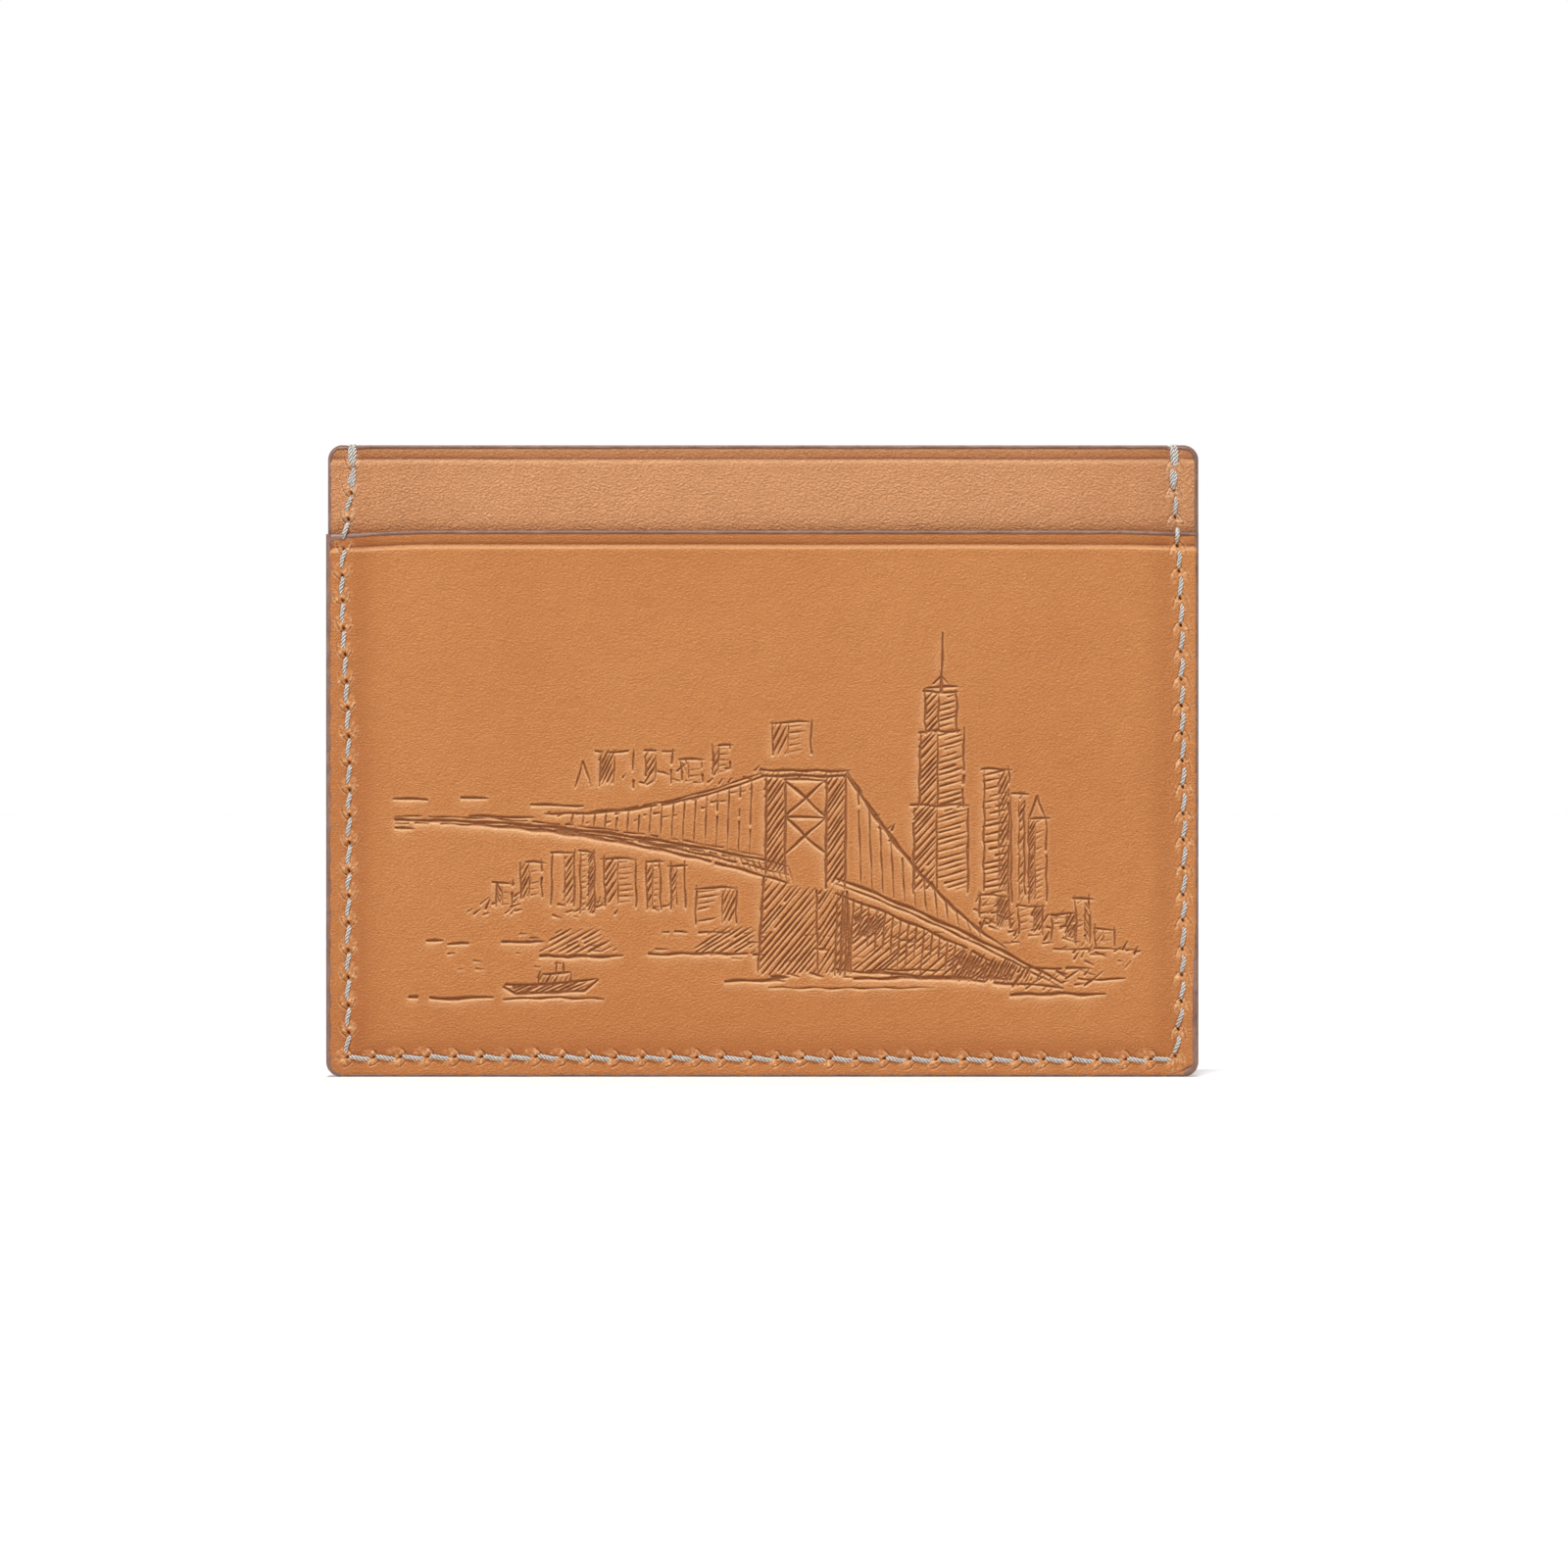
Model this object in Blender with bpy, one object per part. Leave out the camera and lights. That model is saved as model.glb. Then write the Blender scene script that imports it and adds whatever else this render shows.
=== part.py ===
"""A flat leather card holder, built layer by layer.

It stands on its bottom edge: X runs along its width, Z up its height, and Y through its thickness,
with the front at -Y. The origin is the centre of the bottom edge. Four leather panels and two thin
linings form three closed pockets, one saddle seam in two threads runs down the left side, along the
bottom and up the right side, and a painted coat seals every cut edge.
"""

import math

import bmesh
import bpy
from mathutils import Matrix, Vector

MM = 0.001

# Outer size, coat included
WIDTH = 100.0 * MM
HEIGHT = 72.4 * MM
POCKET_HEIGHT = 62.6 * MM
CORNER_RADIUS = 1.7 * MM
CORNER_STEPS = 6

# Layers through the thickness
LEATHER = 1.0 * MM
LINING = 0.25 * MM
GLUE_LINE = 0.05 * MM
CLOSED_POCKET = 0.2 * MM
COAT = 0.25 * MM
TOUCH = 0.03 * MM

# Seam: one hole per stitch end, the corner holes shared by two sides
SEAM_X = 47.6 * MM
SEAM_BOTTOM_Z = 2.2 * MM
TOP_HOLE_Z = 70.1 * MM
SIDE_STITCHES = 22
BOTTOM_STITCHES = 31
THREAD_RADIUS = 0.21 * MM

# Each awl slit lies across the seam: its two ends, along the seam and square to it
SLIT_ALONG = 0.38 * MM
SLIT_ACROSS = 0.33 * MM
SLIT_WIDTH = 0.56 * MM
SLIT_OVERSHOOT = 0.28 * MM

# The thread lies in a groove, and over the top edge in a notch
GROOVE_DEPTH = 0.5 * MM
GROOVE_HALF = 0.78 * MM
LOOP_REACH = 1.1 * MM
NOTCH_OUTER = 0.6 * MM
NOTCH_DEPTH = 0.55 * MM
LOOP_OFFSET = 0.8 * MM
LOOP_GAP = 0.14 * MM

LEATHER_TAN = (0.56, 0.24, 0.08, 1.0)
LINING_TAN = (0.50, 0.26, 0.12, 1.0)
THREAD_WHITE = (0.75, 0.70, 0.63, 1.0)
COAT_BROWN = (0.25, 0.13, 0.09, 1.0)

# Faces of each layer along Y, from the front
THICKNESS = 4 * LEATHER + 2 * (LINING + GLUE_LINE) + 3 * CLOSED_POCKET
FRONT = -THICKNESS / 2
BACK = THICKNESS / 2
FRONT_BODY_FACE = FRONT + LEATHER + CLOSED_POCKET
BACK_BODY_FACE = BACK - LEATHER - CLOSED_POCKET
FRONT_LINING_INNER = FRONT_BODY_FACE + LEATHER + GLUE_LINE + LINING
BACK_LINING_INNER = BACK_BODY_FACE - LEATHER - GLUE_LINE - LINING

EDGE = COAT + TOUCH
CUT_ROOM = 3.0 * MM


def clear_scene():
    for obj in list(bpy.data.objects):
        bpy.data.objects.remove(obj)


def collection(name):
    made = bpy.data.collections.new(name)
    bpy.context.scene.collection.children.link(made)
    return made


def material(name, colour, roughness):
    made = bpy.data.materials.new(name)
    made.use_nodes = True
    shader = made.node_tree.nodes["Principled BSDF"]
    shader.inputs["Base Color"].default_value = colour
    shader.inputs["Roughness"].default_value = roughness
    shader.inputs["Metallic"].default_value = 0.0
    return made


def finish(obj, place, look):
    """Links the object, gives it its material, and hides it if it is only a cutter."""
    place.objects.link(obj)
    if look is None:
        obj.hide_render = True
        obj.display_type = "WIRE"
    else:
        obj.data.materials.append(look)
    return obj


def box(name, low, high, place, look=None):
    low, high = Vector(low), Vector(high)
    shape = bmesh.new()
    bmesh.ops.create_cube(shape, size=1.0, matrix=Matrix.Diagonal((high - low).to_4d()))
    mesh = bpy.data.meshes.new(name)
    shape.to_mesh(mesh)
    shape.free()
    obj = bpy.data.objects.new(name, mesh)
    obj.location = (low + high) / 2
    return finish(obj, place, look)


def plate(name, outline, y_front, y_back, place, look=None):
    """A flat sheet: a closed outline of (x, z) points, filled and given its thickness along Y."""
    curve = bpy.data.curves.new(name, "CURVE")
    curve.dimensions = "2D"
    curve.fill_mode = "BOTH"
    curve.extrude = (y_back - y_front) / 2
    spline = curve.splines.new("POLY")
    spline.points.add(len(outline) - 1)
    for point, (x, z) in zip(spline.points, outline):
        point.co = (x, z, 0.0, 1.0)
    spline.use_cyclic_u = True
    drawn = bpy.data.objects.new(name + "_outline", curve)
    drawn.rotation_euler = (math.pi / 2, 0.0, 0.0)
    drawn.location = (0.0, (y_front + y_back) / 2, 0.0)
    place.objects.link(drawn)
    bpy.context.view_layer.update()
    graph = bpy.context.evaluated_depsgraph_get()
    mesh = bpy.data.meshes.new_from_object(drawn.evaluated_get(graph))
    shape = bmesh.new()
    shape.from_mesh(mesh)
    bmesh.ops.remove_doubles(shape, verts=shape.verts, dist=1e-6)
    bmesh.ops.recalc_face_normals(shape, faces=shape.faces)
    shape.to_mesh(mesh)
    shape.free()
    mesh.name = name
    obj = bpy.data.objects.new(name, mesh)
    obj.matrix_world = drawn.matrix_world
    bpy.data.objects.remove(drawn)
    return finish(obj, place, look)


def cut(obj, *cutters):
    for cutter in cutters:
        boolean = obj.modifiers.new("cut_" + cutter.name, "BOOLEAN")
        boolean.operation = "DIFFERENCE"
        boolean.object = cutter


def arc(centre_x, centre_z, radius, start, end):
    """Points of a circle's arc, from one angle to another, in degrees."""
    turns = [math.radians(start + (end - start) * i / CORNER_STEPS) for i in range(CORNER_STEPS + 1)]
    return [(centre_x + radius * math.cos(a), centre_z + radius * math.sin(a)) for a in turns]


def panel_outline(top):
    """A panel's outline inside the edge coat. A full-height panel has four round corners, a pocket two."""
    half = WIDTH / 2 - EDGE
    radius = CORNER_RADIUS - EDGE
    low_x, low_z = half - radius, EDGE + radius
    outline = arc(-low_x, low_z, radius, 180, 270) + arc(low_x, low_z, radius, 270, 360)
    if top < HEIGHT - EDGE:
        return outline + [(half, top), (-half, top)]
    high_z = top - radius
    return outline + arc(low_x, high_z, radius, 0, 90) + arc(-low_x, high_z, radius, 90, 180)


def side_coat_outline(side):
    """The painted band round one side, from the bottom corner to the notch in the top edge."""
    centre_x = WIDTH / 2 - CORNER_RADIUS
    low_z, high_z = CORNER_RADIUS, HEIGHT - CORNER_RADIUS
    notch_x = SEAM_X + NOTCH_OUTER + TOUCH
    inner = CORNER_RADIUS - COAT
    outside = arc(centre_x, low_z, CORNER_RADIUS, -90, 0) + arc(centre_x, high_z, CORNER_RADIUS, 0, 90)
    inside = arc(centre_x, high_z, inner, 90, 0) + arc(centre_x, low_z, inner, 0, -90)
    right = outside + [(notch_x, HEIGHT), (notch_x, HEIGHT - COAT)] + inside
    return [(side * x, z) for x, z in right]


def seam_holes():
    """(position, slit) of each awl hole as (x, z) vectors, down the left side, along and up the right.

    slit points from a hole's centre to the end where a front stitch leaves it."""
    side_pitch = (TOP_HOLE_Z - SEAM_BOTTOM_Z) / SIDE_STITCHES
    bottom_pitch = 2 * SEAM_X / BOTTOM_STITCHES
    runs = [
        (Vector((-SEAM_X, TOP_HOLE_Z)), Vector((0.0, -1.0)), side_pitch, SIDE_STITCHES),
        (Vector((-SEAM_X, SEAM_BOTTOM_Z)), Vector((1.0, 0.0)), bottom_pitch, BOTTOM_STITCHES),
        (Vector((SEAM_X, SEAM_BOTTOM_Z)), Vector((0.0, 1.0)), side_pitch, SIDE_STITCHES + 1),
    ]
    holes = []
    for start, along, pitch, count in runs:
        across = Vector((-along.y, along.x))
        slit = along * SLIT_ALONG + across * SLIT_ACROSS
        holes += [(start + along * pitch * i, slit) for i in range(count)]
    return holes


def slit_cutter(holes, place):
    """Every awl slit as one lozenge prism through all the layers."""
    shape = bmesh.new()
    for centre, slit in holes:
        length = 2 * (slit.length + SLIT_OVERSHOOT)
        turn = Matrix.Rotation(-math.atan2(slit.y, slit.x), 4, "Y")
        size = Matrix.Diagonal((length, THICKNESS + 2 * CUT_ROOM, SLIT_WIDTH, 1.0))
        move = Matrix.Translation((centre.x, 0.0, centre.y))
        bmesh.ops.create_cube(shape, size=1.0, matrix=move @ turn @ size)
    mesh = bpy.data.meshes.new("awl_slits")
    shape.to_mesh(mesh)
    shape.free()
    return finish(bpy.data.objects.new("awl_slits", mesh), place, None)


def groove_outline():
    """The stitching groove's U, as wide as the seam's two rows of slit ends."""
    out_x, in_x = SEAM_X + GROOVE_HALF, SEAM_X - GROOVE_HALF
    out_z, in_z = SEAM_BOTTOM_Z - GROOVE_HALF, SEAM_BOTTOM_Z + GROOVE_HALF
    top = POCKET_HEIGHT + CUT_ROOM
    right = [(out_x, out_z), (out_x, top), (in_x, top), (in_x, in_z)]
    return right + [(-x, z) for x, z in reversed(right)]


def strip_groove(name, side, y_low, y_high, place):
    """The wider groove above the pocket, where the seam's end loops lie side by side."""
    xs = sorted((side * (SEAM_X + GROOVE_HALF), side * (SEAM_X - LOOP_REACH)))
    low = (xs[0], y_low, POCKET_HEIGHT - CUT_ROOM)
    return box(name, low, (xs[1], y_high, HEIGHT + CUT_ROOM), place)


def top_notch(name, side, place):
    """The notch in the top edge that the end loops bite into."""
    xs = sorted((side * (SEAM_X + NOTCH_OUTER), side * (SEAM_X - LOOP_REACH)))
    low = (xs[0], FRONT - CUT_ROOM, HEIGHT - NOTCH_DEPTH)
    return box(name, low, (xs[1], BACK + CUT_ROOM, HEIGHT + CUT_ROOM), place)


def strand_y(side, z):
    """Where a strand lies along Y on the front (-1) or the back (1): the pocket stands a layer higher."""
    face = (BACK if side > 0 else FRONT) if z < POCKET_HEIGHT else None
    if face is None:
        face = BACK_BODY_FACE if side > 0 else FRONT_BODY_FACE
    return face - side * GROOVE_DEPTH / 2


def strand(side, start, end):
    """A strand between two (x, z) points on one face, stepping over the pocket's edge if it crosses it."""
    points = [Vector((start.x, strand_y(side, start.y), start.y))]
    step_z = POCKET_HEIGHT + THREAD_RADIUS + 3 * TOUCH
    if (start.y - step_z) * (end.y - step_z) < 0:
        share = (step_z - start.y) / (end.y - start.y)
        x = start.x + (end.x - start.x) * share
        levels = [strand_y(side, start.y), strand_y(side, end.y)]
        points += [Vector((x, y, step_z)) for y in levels]
    return points + [Vector((end.x, strand_y(side, end.y), end.y))]


def over_top(side, start, end):
    """A strand that leaves one face at start, crosses the top edge, and comes down the other face to end."""
    crossing = HEIGHT - THREAD_RADIUS - TOUCH / 3
    return [
        Vector((start.x, strand_y(side, start.y), start.y)),
        Vector((start.x, strand_y(side, HEIGHT), crossing)),
        Vector((end.x, strand_y(-side, HEIGHT), crossing)),
        Vector((end.x, strand_y(-side, end.y), end.y)),
    ]


def saddle_stitches(holes, first):
    """One thread's stitches: on the front for every other stitch from number first, on the back between."""
    points = []
    for k in range(len(holes) - 1):
        (here, slit), (there, next_slit) = holes[k], holes[k + 1]
        if k % 2 == first:
            points += strand(-1, here + slit, there - next_slit)
        else:
            points += strand(1, here - slit, there + next_slit)
    return points


def beside(hole, across, along=0.0):
    """A point near a side hole: across is towards the middle of the card holder, along is downwards."""
    side = math.copysign(1.0, hole.x)
    return Vector((hole.x - side * across, hole.y - along))


def thread_paths(holes):
    """The two threads. Each end is looped over the top edge, and its tail is tucked in or laid down."""
    first, second = holes[0][0], holes[1][0]
    last = holes[-1][0]
    tail_a = beside(first, -SLIT_ACROSS, -SLIT_ALONG)
    start_a = Vector((tail_a.x, 0.0, tail_a.y))
    inner = saddle_stitches(holes, 0)
    inner[0] = Vector((tail_a.x, strand_y(-1, tail_a.y), tail_a.y))
    thread_a = [start_a] + inner
    up = beside(last, -SLIT_ACROSS, SLIT_ALONG)
    thread_a += over_top(1, up, beside(last, -LOOP_GAP, -SLIT_ALONG))
    thread_a += strand(-1, beside(last, LOOP_GAP, SLIT_ALONG), beside(last, 0.45 * MM, 1.6 * MM))

    loop = beside(first, LOOP_OFFSET)
    hole_end = beside(first, SLIT_ACROSS, SLIT_ALONG)
    thread_b = strand(-1, beside(second, 0.25 * MM, -0.75 * MM), loop)
    thread_b += over_top(-1, loop, beside(first, LOOP_OFFSET, -SLIT_ALONG))
    thread_b += strand(1, beside(first, LOOP_OFFSET, -SLIT_ALONG), hole_end)[1:]
    thread_b += over_top(-1, hole_end, beside(first, SLIT_ACROSS - LOOP_GAP, -1.0 * MM))
    thread_b += [strand(1, beside(first, -LOOP_GAP), second)[0]]
    thread_b += saddle_stitches(holes, 1)[1:]
    end = beside(last, SLIT_ACROSS, -SLIT_ALONG)
    thread_b += over_top(-1, end, beside(last, LOOP_OFFSET, 0.0))
    thread_b += strand(1, beside(last, LOOP_OFFSET, 0.0), beside(last, LOOP_OFFSET, 2.0 * MM))[1:]
    return thread_a, thread_b


def thread(name, route, place, look):
    curve = bpy.data.curves.new(name, "CURVE")
    curve.dimensions = "3D"
    curve.bevel_depth = THREAD_RADIUS
    curve.bevel_resolution = 1
    curve.use_fill_caps = True
    spline = curve.splines.new("POLY")
    spline.points.add(len(route) - 1)
    for point, co in zip(spline.points, route):
        point.co = (*co, 1.0)
    return finish(bpy.data.objects.new(name, curve), place, look)


def main():
    clear_scene()
    parts = collection("card_holder")
    cutters = collection("cutters")
    leather = material("leather", LEATHER_TAN, 0.5)
    lining = material("lining", LINING_TAN, 0.8)
    coat = material("edge_coat", COAT_BROWN, 0.45)
    linen = material("thread", THREAD_WHITE, 0.8)

    holes = seam_holes()
    slits = slit_cutter(holes, cutters)
    sides = (("left", -1), ("right", 1))
    notches = [top_notch("notch_" + word, side, cutters) for word, side in sides]
    front_floor, back_floor = FRONT + GROOVE_DEPTH, BACK - GROOVE_DEPTH
    front_groove = plate("front_groove", groove_outline(), FRONT - CUT_ROOM, front_floor, cutters)
    back_groove = plate("back_groove", groove_outline(), back_floor, BACK + CUT_ROOM, cutters)
    front_strip, back_strip = [], []
    for word, side in sides:
        floor = FRONT_BODY_FACE + GROOVE_DEPTH
        front_strip.append(strip_groove("front_strip_" + word, side, FRONT - CUT_ROOM, floor, cutters))
        floor = BACK_BODY_FACE - GROOVE_DEPTH
        back_strip.append(strip_groove("back_strip_" + word, side, floor, BACK + CUT_ROOM, cutters))

    pocket = panel_outline(POCKET_HEIGHT - EDGE)
    body = panel_outline(HEIGHT - EDGE)
    panels = (
        ("front_pocket_panel", pocket, FRONT, FRONT + LEATHER, leather, [front_groove]),
        ("front_body_panel", body, FRONT_BODY_FACE, FRONT_BODY_FACE + LEATHER, leather, notches + front_strip),
        ("centre_pocket_front_lining", body, FRONT_LINING_INNER - LINING, FRONT_LINING_INNER, lining, notches),
        ("centre_pocket_back_lining", body, BACK_LINING_INNER, BACK_LINING_INNER + LINING, lining, notches),
        ("back_body_panel", body, BACK_BODY_FACE - LEATHER, BACK_BODY_FACE, leather, notches + back_strip),
        ("back_pocket_panel", pocket, BACK - LEATHER, BACK, leather, [back_groove]),
    )
    for name, outline, y_front, y_back, look, own_cutters in panels:
        cut(plate(name, outline, y_front, y_back, parts, look), slits, *own_cutters)

    route_a, route_b = thread_paths(holes)
    thread("saddle_thread_a", route_a, parts, linen)
    thread("saddle_thread_b", route_b, parts, linen)

    beyond = WIDTH / 2 + CUT_ROOM
    low, high = POCKET_HEIGHT, HEIGHT + CUT_ROOM
    over_front = box("over_front", (-beyond, FRONT - CUT_ROOM, low), (beyond, FRONT_BODY_FACE, high), cutters)
    over_back = box("over_back", (-beyond, BACK_BODY_FACE, low), (beyond, BACK + CUT_ROOM, high), cutters)
    for word, side in sides:
        cut(plate("edge_coat_" + word, side_coat_outline(side), FRONT, BACK, parts, coat), over_front, over_back)
    flat = WIDTH / 2 - CORNER_RADIUS - TOUCH
    box("edge_coat_bottom", (-flat, FRONT, 0.0), (flat, BACK, COAT), parts, coat)

    between = SEAM_X - LOOP_REACH - TOUCH
    inside = WIDTH / 2 - EDGE
    mouths = (
        ("front_pocket", inside, POCKET_HEIGHT, FRONT, FRONT + LEATHER, [front_groove]),
        ("front_body", between, HEIGHT, FRONT_BODY_FACE, FRONT_LINING_INNER, []),
        ("back_body", between, HEIGHT, BACK_LINING_INNER, BACK_BODY_FACE, []),
        ("back_pocket", inside, POCKET_HEIGHT, BACK - LEATHER, BACK, [back_groove]),
    )
    for word, reach, top, y_front, y_back, own_cutters in mouths:
        low, high = (-reach, y_front, top - COAT), (reach, y_back, top)
        cut(box("mouth_coat_" + word, low, high, parts, coat), *own_cutters)


main()
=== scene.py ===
"""The looks of the leather card holder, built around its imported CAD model.

X runs along the width, Z up the height and Y through the thickness, with the front at -Y. Each leather
panel is a fine sheet whose face is a relief: the pressed line, the awl holes with the blisters and folds
round them and, on the front pocket, a pressed pen drawing. Lengths are in millimetres until a mesh is made.
"""

import math
import random

import bmesh
import bpy
import numpy as np
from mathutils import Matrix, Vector


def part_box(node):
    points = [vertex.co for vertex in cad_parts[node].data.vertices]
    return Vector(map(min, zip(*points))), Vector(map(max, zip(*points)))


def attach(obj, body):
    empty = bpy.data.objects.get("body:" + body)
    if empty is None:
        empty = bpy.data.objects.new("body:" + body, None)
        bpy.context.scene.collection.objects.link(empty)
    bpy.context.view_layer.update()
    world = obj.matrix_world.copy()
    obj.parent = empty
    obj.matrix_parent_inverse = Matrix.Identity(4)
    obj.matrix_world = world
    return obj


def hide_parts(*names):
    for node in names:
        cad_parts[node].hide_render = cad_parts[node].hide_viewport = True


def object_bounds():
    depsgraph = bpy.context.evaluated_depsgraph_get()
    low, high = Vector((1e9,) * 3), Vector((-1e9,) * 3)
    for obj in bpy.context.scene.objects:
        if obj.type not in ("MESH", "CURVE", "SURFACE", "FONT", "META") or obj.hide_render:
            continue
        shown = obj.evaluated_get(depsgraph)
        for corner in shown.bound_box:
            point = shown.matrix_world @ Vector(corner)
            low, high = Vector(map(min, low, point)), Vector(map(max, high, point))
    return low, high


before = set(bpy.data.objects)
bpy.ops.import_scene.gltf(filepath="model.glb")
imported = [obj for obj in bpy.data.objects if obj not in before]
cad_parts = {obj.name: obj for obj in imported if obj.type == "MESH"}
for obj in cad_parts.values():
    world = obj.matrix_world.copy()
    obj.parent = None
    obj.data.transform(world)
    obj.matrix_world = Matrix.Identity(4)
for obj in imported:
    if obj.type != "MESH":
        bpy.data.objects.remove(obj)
CAD_LOW, CAD_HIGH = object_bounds()

MM = 0.001

# The seam, measured from the outside edges
SEAM_INSET = 2.4
SEAM_BOTTOM = 2.2
TOP_HOLE_DROP = 2.3
SIDE_STITCHES = 22
BOTTOM_STITCHES = 31

# The thread: three plies, how far each lies from the middle, and the length of one turn
THREAD_WIDTH = 0.5
PLIES = 3
PLY_RADIUS = THREAD_WIDTH * 0.255
PLY_OFFSET = THREAD_WIDTH * 0.29
TWIST = 1.3
PLY_SIDES = 8
THREAD_SINK = 0.08

# The outline and the painted edge
CORNER = 1.7
ROUND_OVER = 0.5
ROUND_DEPTH = 0.42
PAINT_PROUD = 0.03
COAT_DEPTH = 0.22
MOUTH_SINK = 0.05
UNDER_PAINT = 0.28
CORNER_STEPS = 14
OUTLINE_STEP = 0.25

# How far the faces sink at the seam, and how far in the pocket's starts to; the line along the mouth
PILLOW = 0.24
PILLOW_REACH = 7.0
BODY_PILLOW = 0.12
CREASE_DROP = 1.24

# The relief's grid: the finest cell, and how many of them the coarsest is wide
CELL = 0.08
COARSEST = 8

# How far a cell may stray from the relief before it is split
DEPTH_ERROR = 0.012
BURN_AND_SHADE_ERROR = 0.14
MARK_ERROR = 0.3

# Half the width of the drawing's pen, and the bridge tower's lowest and highest points
PEN_HALF = 0.125
TOWER_FOOT = 11.9
TOWER_HEAD = 34.4

# The photo's picture, in widths and heights of the card holder
PICTURE_WIDTH = 1.7966
PICTURE_CENTRE_X = 0.0249
PICTURE_CENTRE_Z = 0.4632
CAMERA_DISTANCE = 1.5

# The lights: two suns, a soft box and the world
KEY_SUN = 2.65
BACK_FILL = 1.2
LEFT_SOFTBOX = 1.3
WORLD_LIGHT = 0.24


def mm_box(node):
    """A CAD node's lowest and highest corners, in millimetres."""
    low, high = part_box(node)
    return np.array(low) / MM, np.array(high) / MM


WIDTH = (CAD_HIGH.x - CAD_LOW.x) / MM
HEIGHT = (CAD_HIGH.z - CAD_LOW.z) / MM
FRONT = CAD_LOW.y / MM
POCKET_TOP = mm_box("mouth_coat_front_pocket")[1][2]
FRONT_BODY_FACE = mm_box("front_body_panel")[0][1]
SEAM_X = WIDTH / 2 - SEAM_INSET


def smooth(low, high, value):
    t = np.clip((value - low) / (high - low), 0.0, 1.0)
    return t * t * (3 - 2 * t)


def bump(value, width):
    return np.exp(-((value / width) ** 2))


def edge_distance(x, z, top):
    """How far a point lies inside a panel's outline. A panel of full height has four round corners."""
    dx = np.abs(x) - (WIDTH / 2 - CORNER)
    low = CORNER - z
    high = z - (top - CORNER) if top > POCKET_TOP else np.full_like(z, -WIDTH)
    dz = np.maximum(low, high)
    outside = np.hypot(np.maximum(dx, 0), np.maximum(dz, 0))
    return CORNER - (outside + np.minimum(np.maximum(dx, dz), 0))


def round_corners(x, z, top):
    """Moves the points of a square grid's corners onto round ones."""
    cx = WIDTH / 2 - CORNER
    u = np.maximum(np.abs(x) - cx, 0)
    v = np.maximum(CORNER - z, 0)
    if top > POCKET_TOP:
        v = np.maximum(v, z - (top - CORNER))
    length = np.hypot(u, v)
    share = np.where(length > 0, np.maximum(u, v) / np.where(length > 0, length, 1), 1.0)
    inner_z = np.clip(z, CORNER, top - CORNER if top > POCKET_TOP else top + CORNER)
    return np.sign(x) * (np.minimum(np.abs(x), cx) + u * share), inner_z + (z - inner_z) * share


# ---- the seam


def seam_wander(share, side):
    """How far a hand-sewn side seam strays inwards, from its top (0) to its bottom (1)."""
    top = 1 - smooth(0, 0.2, share)
    if side < 0:
        return 0.68 * top + 0.2 - 0.7 * bump(share - 0.18, 0.2) - 0.08 * math.sin(9 * share)
    foot = smooth(0.9, 1.01, share)
    return 0.36 * top + 0.7 * foot - 0.45 * smooth(0.05, 0.3, share) - 0.3 * bump(share - 0.66, 0.2)


def seam_holes():
    """Each awl hole as (place, along, inwards) vectors in (x, z): down the left, along, and up the right."""
    top_hole = HEIGHT - TOP_HOLE_DROP
    draw = random.Random(11)
    holes = []
    for i in range(SIDE_STITCHES):
        share = i / SIDE_STITCHES
        z = top_hole + (SEAM_BOTTOM - top_hole) * share + draw.uniform(-0.12, 0.12) * (i > 0)
        x = -SEAM_X + seam_wander(share, -1)
        holes.append((Vector((x, z)), Vector((0, -1)), Vector((1, 0))))
    for i in range(BOTTOM_STITCHES):
        x = SEAM_X * (2 * i / BOTTOM_STITCHES - 1) + draw.uniform(-0.1, 0.1) * (i > 0)
        z = SEAM_BOTTOM - 0.3 * smooth(4, BOTTOM_STITCHES, i) + draw.uniform(-0.05, 0.05)
        holes.append((Vector((x, z)), Vector((1, 0)), Vector((0, 1))))
    for i in range(SIDE_STITCHES + 1):
        share = 1 - i / SIDE_STITCHES
        z = top_hole + (SEAM_BOTTOM - top_hole) * share + draw.uniform(-0.12, 0.12) * (0 < i < SIDE_STITCHES)
        x = SEAM_X - seam_wander(share, 1)
        holes.append((Vector((x, z)), Vector((0, 1)), Vector((-1, 0))))
    return holes


HOLES = seam_holes()


def mouth_droop(x):
    """How much lower the pockets' mouths end at their two corners than in the middle."""
    return 0.4 * smooth(38, 50, -x) + 0.2 * smooth(40, 50, x)


def body_step(x, z):
    """How far the body's left side stands in from the pockets' sides."""
    return 0.2 * smooth(44, 49.9, -x) * smooth(POCKET_TOP - 1.5, POCKET_TOP - 0.5, z)


def top_bite(x):
    """How far the thread pulls down the top edge at each end."""
    middle = SEAM_X - 0.57
    return 0.22 * bump(np.abs(x) - middle, 0.52)


# ---- the relief of a panel's face


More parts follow.
